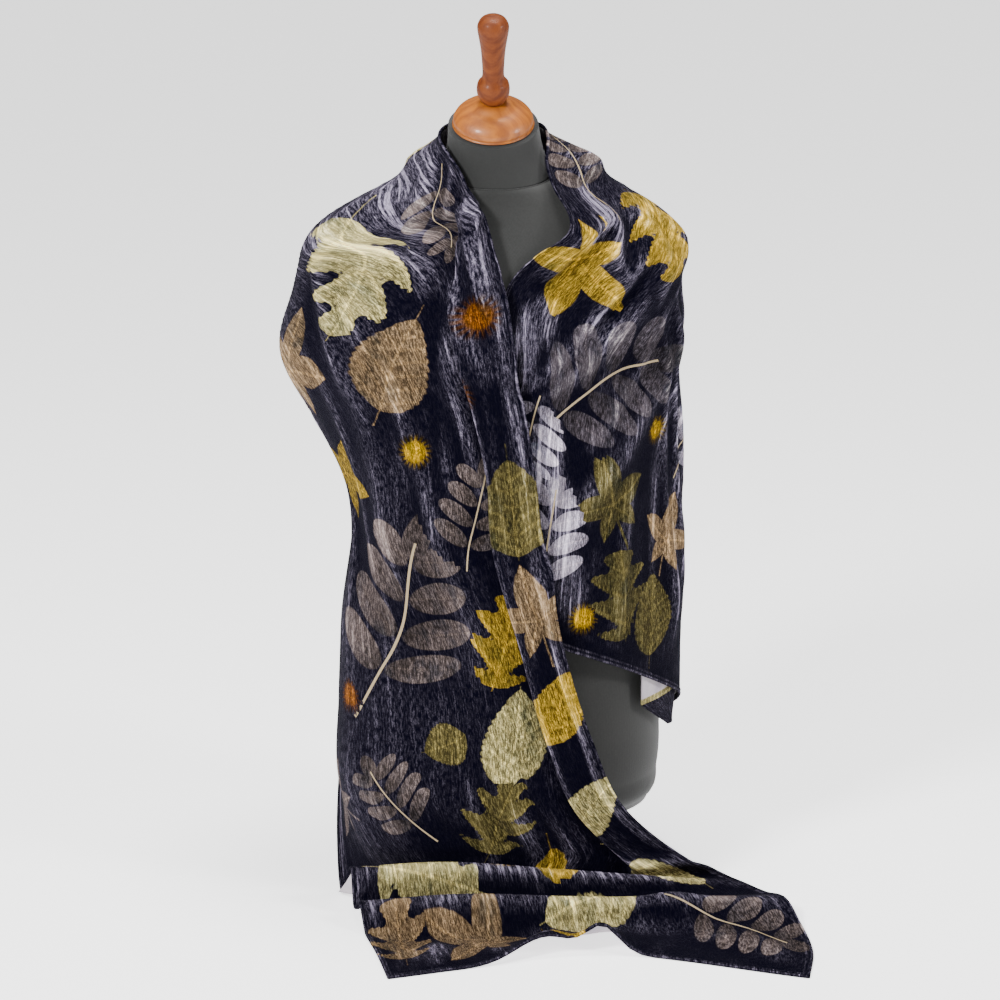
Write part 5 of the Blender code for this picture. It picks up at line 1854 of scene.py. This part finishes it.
    def build_neck(self, knit: bpy.types.Material) -> bpy.types.Object:
        """The neck, from the seam to the leaning plate under the cap."""
        shape = self.shape
        lift = Matrix.Rotation(shape.seam_tilt, 3, "X") @ Vector((0.0, 0.0, self.seam_gap))
        steps = np.array(self.neck_radii)
        places = np.linspace(0.0, 1.0, self.neck_rows)
        radii = curve(steps[:, 0], steps[:, 1], places)
        rings = []
        for t, radius in zip(places.tolist(), radii.tolist()):
            centre = shape.seam_centre.lerp(shape.top_centre, t) + lift * (1 - t)
            tilt = shape.seam_tilt + (shape.top_tilt - shape.seam_tilt) * t
            rings.append(self.leaning_ring(centre, radius, tilt, self.neck_sides))
        return finished("form_neck_skin", self.loft(rings), [knit], ["form_neck"])

    def build_seam(self, knit: bpy.types.Material) -> bpy.types.Object:
        """The thin piping sewn in where the neck's jersey meets the torso's."""
        form = bmesh.new()
        cord = bmesh.ops.create_circle(form, cap_ends=False, segments=self.piping_sides,
                                       radius=self.piping_radius)
        out = Matrix.Translation((self.shape.seam_radius - self.piping_sunk, 0.0, 0.0))
        turned = out @ Matrix.Rotation(math.pi / 2, 4, "X")
        bmesh.ops.transform(form, matrix=turned, verts=cord["verts"])
        bmesh.ops.spin(form, geom=form.verts[:] + form.edges[:], cent=(0, 0, 0), axis=(0, 0, 1),
                       angle=2 * math.pi, steps=self.lathe_steps, use_merge=True, use_duplicate=False)
        seat = Matrix.Translation(self.shape.seam_centre) @ Matrix.Rotation(self.shape.seam_tilt, 4, "X")
        bmesh.ops.transform(form, matrix=seat, verts=form.verts)
        bmesh.ops.recalc_face_normals(form, faces=form.faces)
        return finished("form_neck_seam", form, [knit])

    def build_turned(self, name: str, profile: Sequence[tuple[float, float]], seat: float,
                     wood: bpy.types.Material, stands_for: Sequence[str]) -> bpy.types.Object:
        """A turned wooden piece on the neck's leaning axis.

        Args:
            name: The piece's name.
            profile: Its radius and height, top to bottom.
            seat: How far above the neck's plate it starts.
            wood: Its material.
            stands_for: The plain solids that it replaces.

        Returns:
            The piece.
        """
        form = turned_form(profile, self.lathe_steps)
        lean = Matrix.Rotation(self.shape.top_tilt, 4, "X")
        place = Matrix.Translation(self.shape.top_centre) @ lean @ Matrix.Translation((0.0, 0.0, seat))
        bmesh.ops.transform(form, matrix=place, verts=form.verts)
        return finished(name, form, [wood], stands_for)


def turned_form(profile: Sequence[tuple[float, float]], steps: int,
                finer: int = 4) -> bmesh.types.BMesh:
    """A lathe-turned solid about the upright axis.

    Args:
        profile: Its radius and height, top to bottom.
        steps: How many steps the turn has.
        finer: How many points stand for each one of the profile.

    Returns:
        The closed mesh.
    """
    knots = np.arange(len(profile), dtype=float)
    places = np.linspace(0.0, len(profile) - 1.0, (len(profile) - 1) * finer + 1)
    table = np.array(profile)
    line = curve(knots, table, places)
    flat_end = places > len(profile) - 2
    inwards = (places[flat_end] - (len(profile) - 2))[:, None]
    line[flat_end] = table[-2] + (table[-1] - table[-2]) * inwards
    line[:, 0] = np.maximum(line[:, 0], 0.0)
    form = bmesh.new()
    dots = [form.verts.new((radius, 0.0, height)) for radius, height in line]
    for one, other in zip(dots, dots[1:]):
        form.edges.new((one, other))
    bmesh.ops.spin(form, geom=form.verts[:] + form.edges[:], cent=(0, 0, 0), axis=(0, 0, 1),
                   angle=2 * math.pi, steps=steps, use_merge=True, use_duplicate=False)
    bmesh.ops.remove_doubles(form, verts=form.verts, dist=0.00002)
    bmesh.ops.recalc_face_normals(form, faces=form.faces)
    return form


@dataclass
class Stand:
    """The low round base, the pole and the flange under the torso."""
    base_radius: float = 0.100
    base_height: float = 0.020
    pole_radius: float = 0.0125
    flange_radius: float = 0.040
    flange_height: float = 0.006
    torso_foot: float = 0.066
    seam_gap: float = 0.0003
    steps: int = 96

    def build(self) -> list[bpy.types.Object]:
        """Makes and dresses the stand.

        Returns:
            The base and the pole.
        """
        stain = WoodFinish("dark wood", (0.115, 0.052, 0.026, 1.0), (0.045, 0.020, 0.012, 1.0),
                           gloss=0.38).dress()
        base = ((0.0, self.base_height), (0.030, self.base_height), (0.075, 0.0170), (0.094, 0.0135),
                (self.base_radius, 0.0090), (self.base_radius, 0.0015), (0.0985, 0.0), (0.0, 0.0))
        top = self.torso_foot - self.seam_gap
        low = self.base_height + self.seam_gap
        under = top - self.flange_height
        pole = ((0.0, top), (self.flange_radius, top), (self.flange_radius, under),
                (self.pole_radius, under), (self.pole_radius, low), (0.0, low))
        return [finished(name, turned_form(profile, self.steps, 1), [stain], [node])
                for name, profile, node in (("stand_foot", base, "stand_base"),
                                            ("stand_post", pole, "stand_pole"))]


@dataclass
class Studio:
    """A plain pale floor, soft light and the camera at the picture's angle."""
    target: tuple[float, float, float] = (0.0, 0.0, 0.41)
    distance: float = 4.5
    elevation: float = math.radians(17.0)
    picture_height: float = 1.07
    sensor: float = 36.0

    def build(self) -> None:
        """Sets the floor, the lights and the camera."""
        self.build_floor()
        self.build_lights()
        self.build_camera()

    def build_floor(self) -> None:
        """A wide, flat, pale floor."""
        form = bmesh.new()
        bmesh.ops.create_grid(form, x_segments=1, y_segments=1, size=6.0)
        mesh = bpy.data.meshes.new("floor")
        form.to_mesh(mesh)
        form.free()
        floor = bpy.data.objects.new("floor", mesh)
        bpy.context.scene.collection.objects.link(floor)
        material, g, shader = new_material("pale floor")
        cloud = g.noise(g.node("ShaderNodeTexCoord").outputs["Object"], (1.5, 1.5, 1.5), 2.0)
        g.put(g.blend(cloud, (0.86, 0.86, 0.86, 1.0), (0.84, 0.84, 0.84, 1.0)), shader.inputs["Base Color"])
        g.settle(shader, {"Roughness": 0.8, "Emission Color": (1.0, 1.0, 1.0, 1.0),
                          "Emission Strength": 1.6})
        mesh.materials.append(material)

    def build_lights(self) -> None:
        """A soft key from the upper left, a fill from the right and a light over the shoulders."""
        world = bpy.data.worlds.new("studio")
        bpy.context.scene.world = world
        world.use_nodes = True
        sky = world.node_tree.nodes["Background"]
        sky.inputs[0].default_value = (1.0, 1.0, 1.0, 1.0)
        sky.inputs[1].default_value = 0.14
        for name, place, size, watts in (("key", (-1.7, -1.9, 2.2), 0.7, 165.0),
                                         ("fill", (2.6, -1.2, 1.6), 0.8, 85.0),
                                         ("crown", (0.1, 0.1, 2.6), 0.8, 60.0)):
            lamp = bpy.data.lights.new(name, "AREA")
            lamp.shape = "DISK"
            lamp.size = size
            lamp.energy = watts
            light = bpy.data.objects.new(name, lamp)
            light.location = place
            aim = Vector(self.target) - Vector(place)
            light.rotation_euler = aim.to_track_quat("-Z", "Y").to_euler()
            bpy.context.scene.collection.objects.link(light)

    def build_camera(self) -> None:
        """A camera with a long lens, a little above the scarf."""
        lens = bpy.data.cameras.new("camera")
        lens.sensor_width = self.sensor
        lens.lens = self.sensor * self.distance / self.picture_height
        camera = bpy.data.objects.new("camera", lens)
        target = Vector(self.target)
        away = Vector((0.0, -math.cos(self.elevation), math.sin(self.elevation)))
        camera.location = target + away * self.distance
        camera.rotation_euler = (target - camera.location).to_track_quat("-Z", "Y").to_euler()
        bpy.context.scene.collection.objects.link(camera)
        bpy.context.scene.camera = camera


def main() -> None:
    """Builds the scarf on its form, in order."""
    logging.basicConfig(level=logging.INFO, format="%(name)s %(message)s")
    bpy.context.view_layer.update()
    shape = TorsoShape()
    DressForm(shape).build()
    Stand().build()
    drape = Drape(shape)
    cloth, *edges = Scarf(drape, LeafPrint(drape.width, drape.length, placed=shown_motifs())).build()
    Studio().build()


if __name__ == "__main__":
    main()
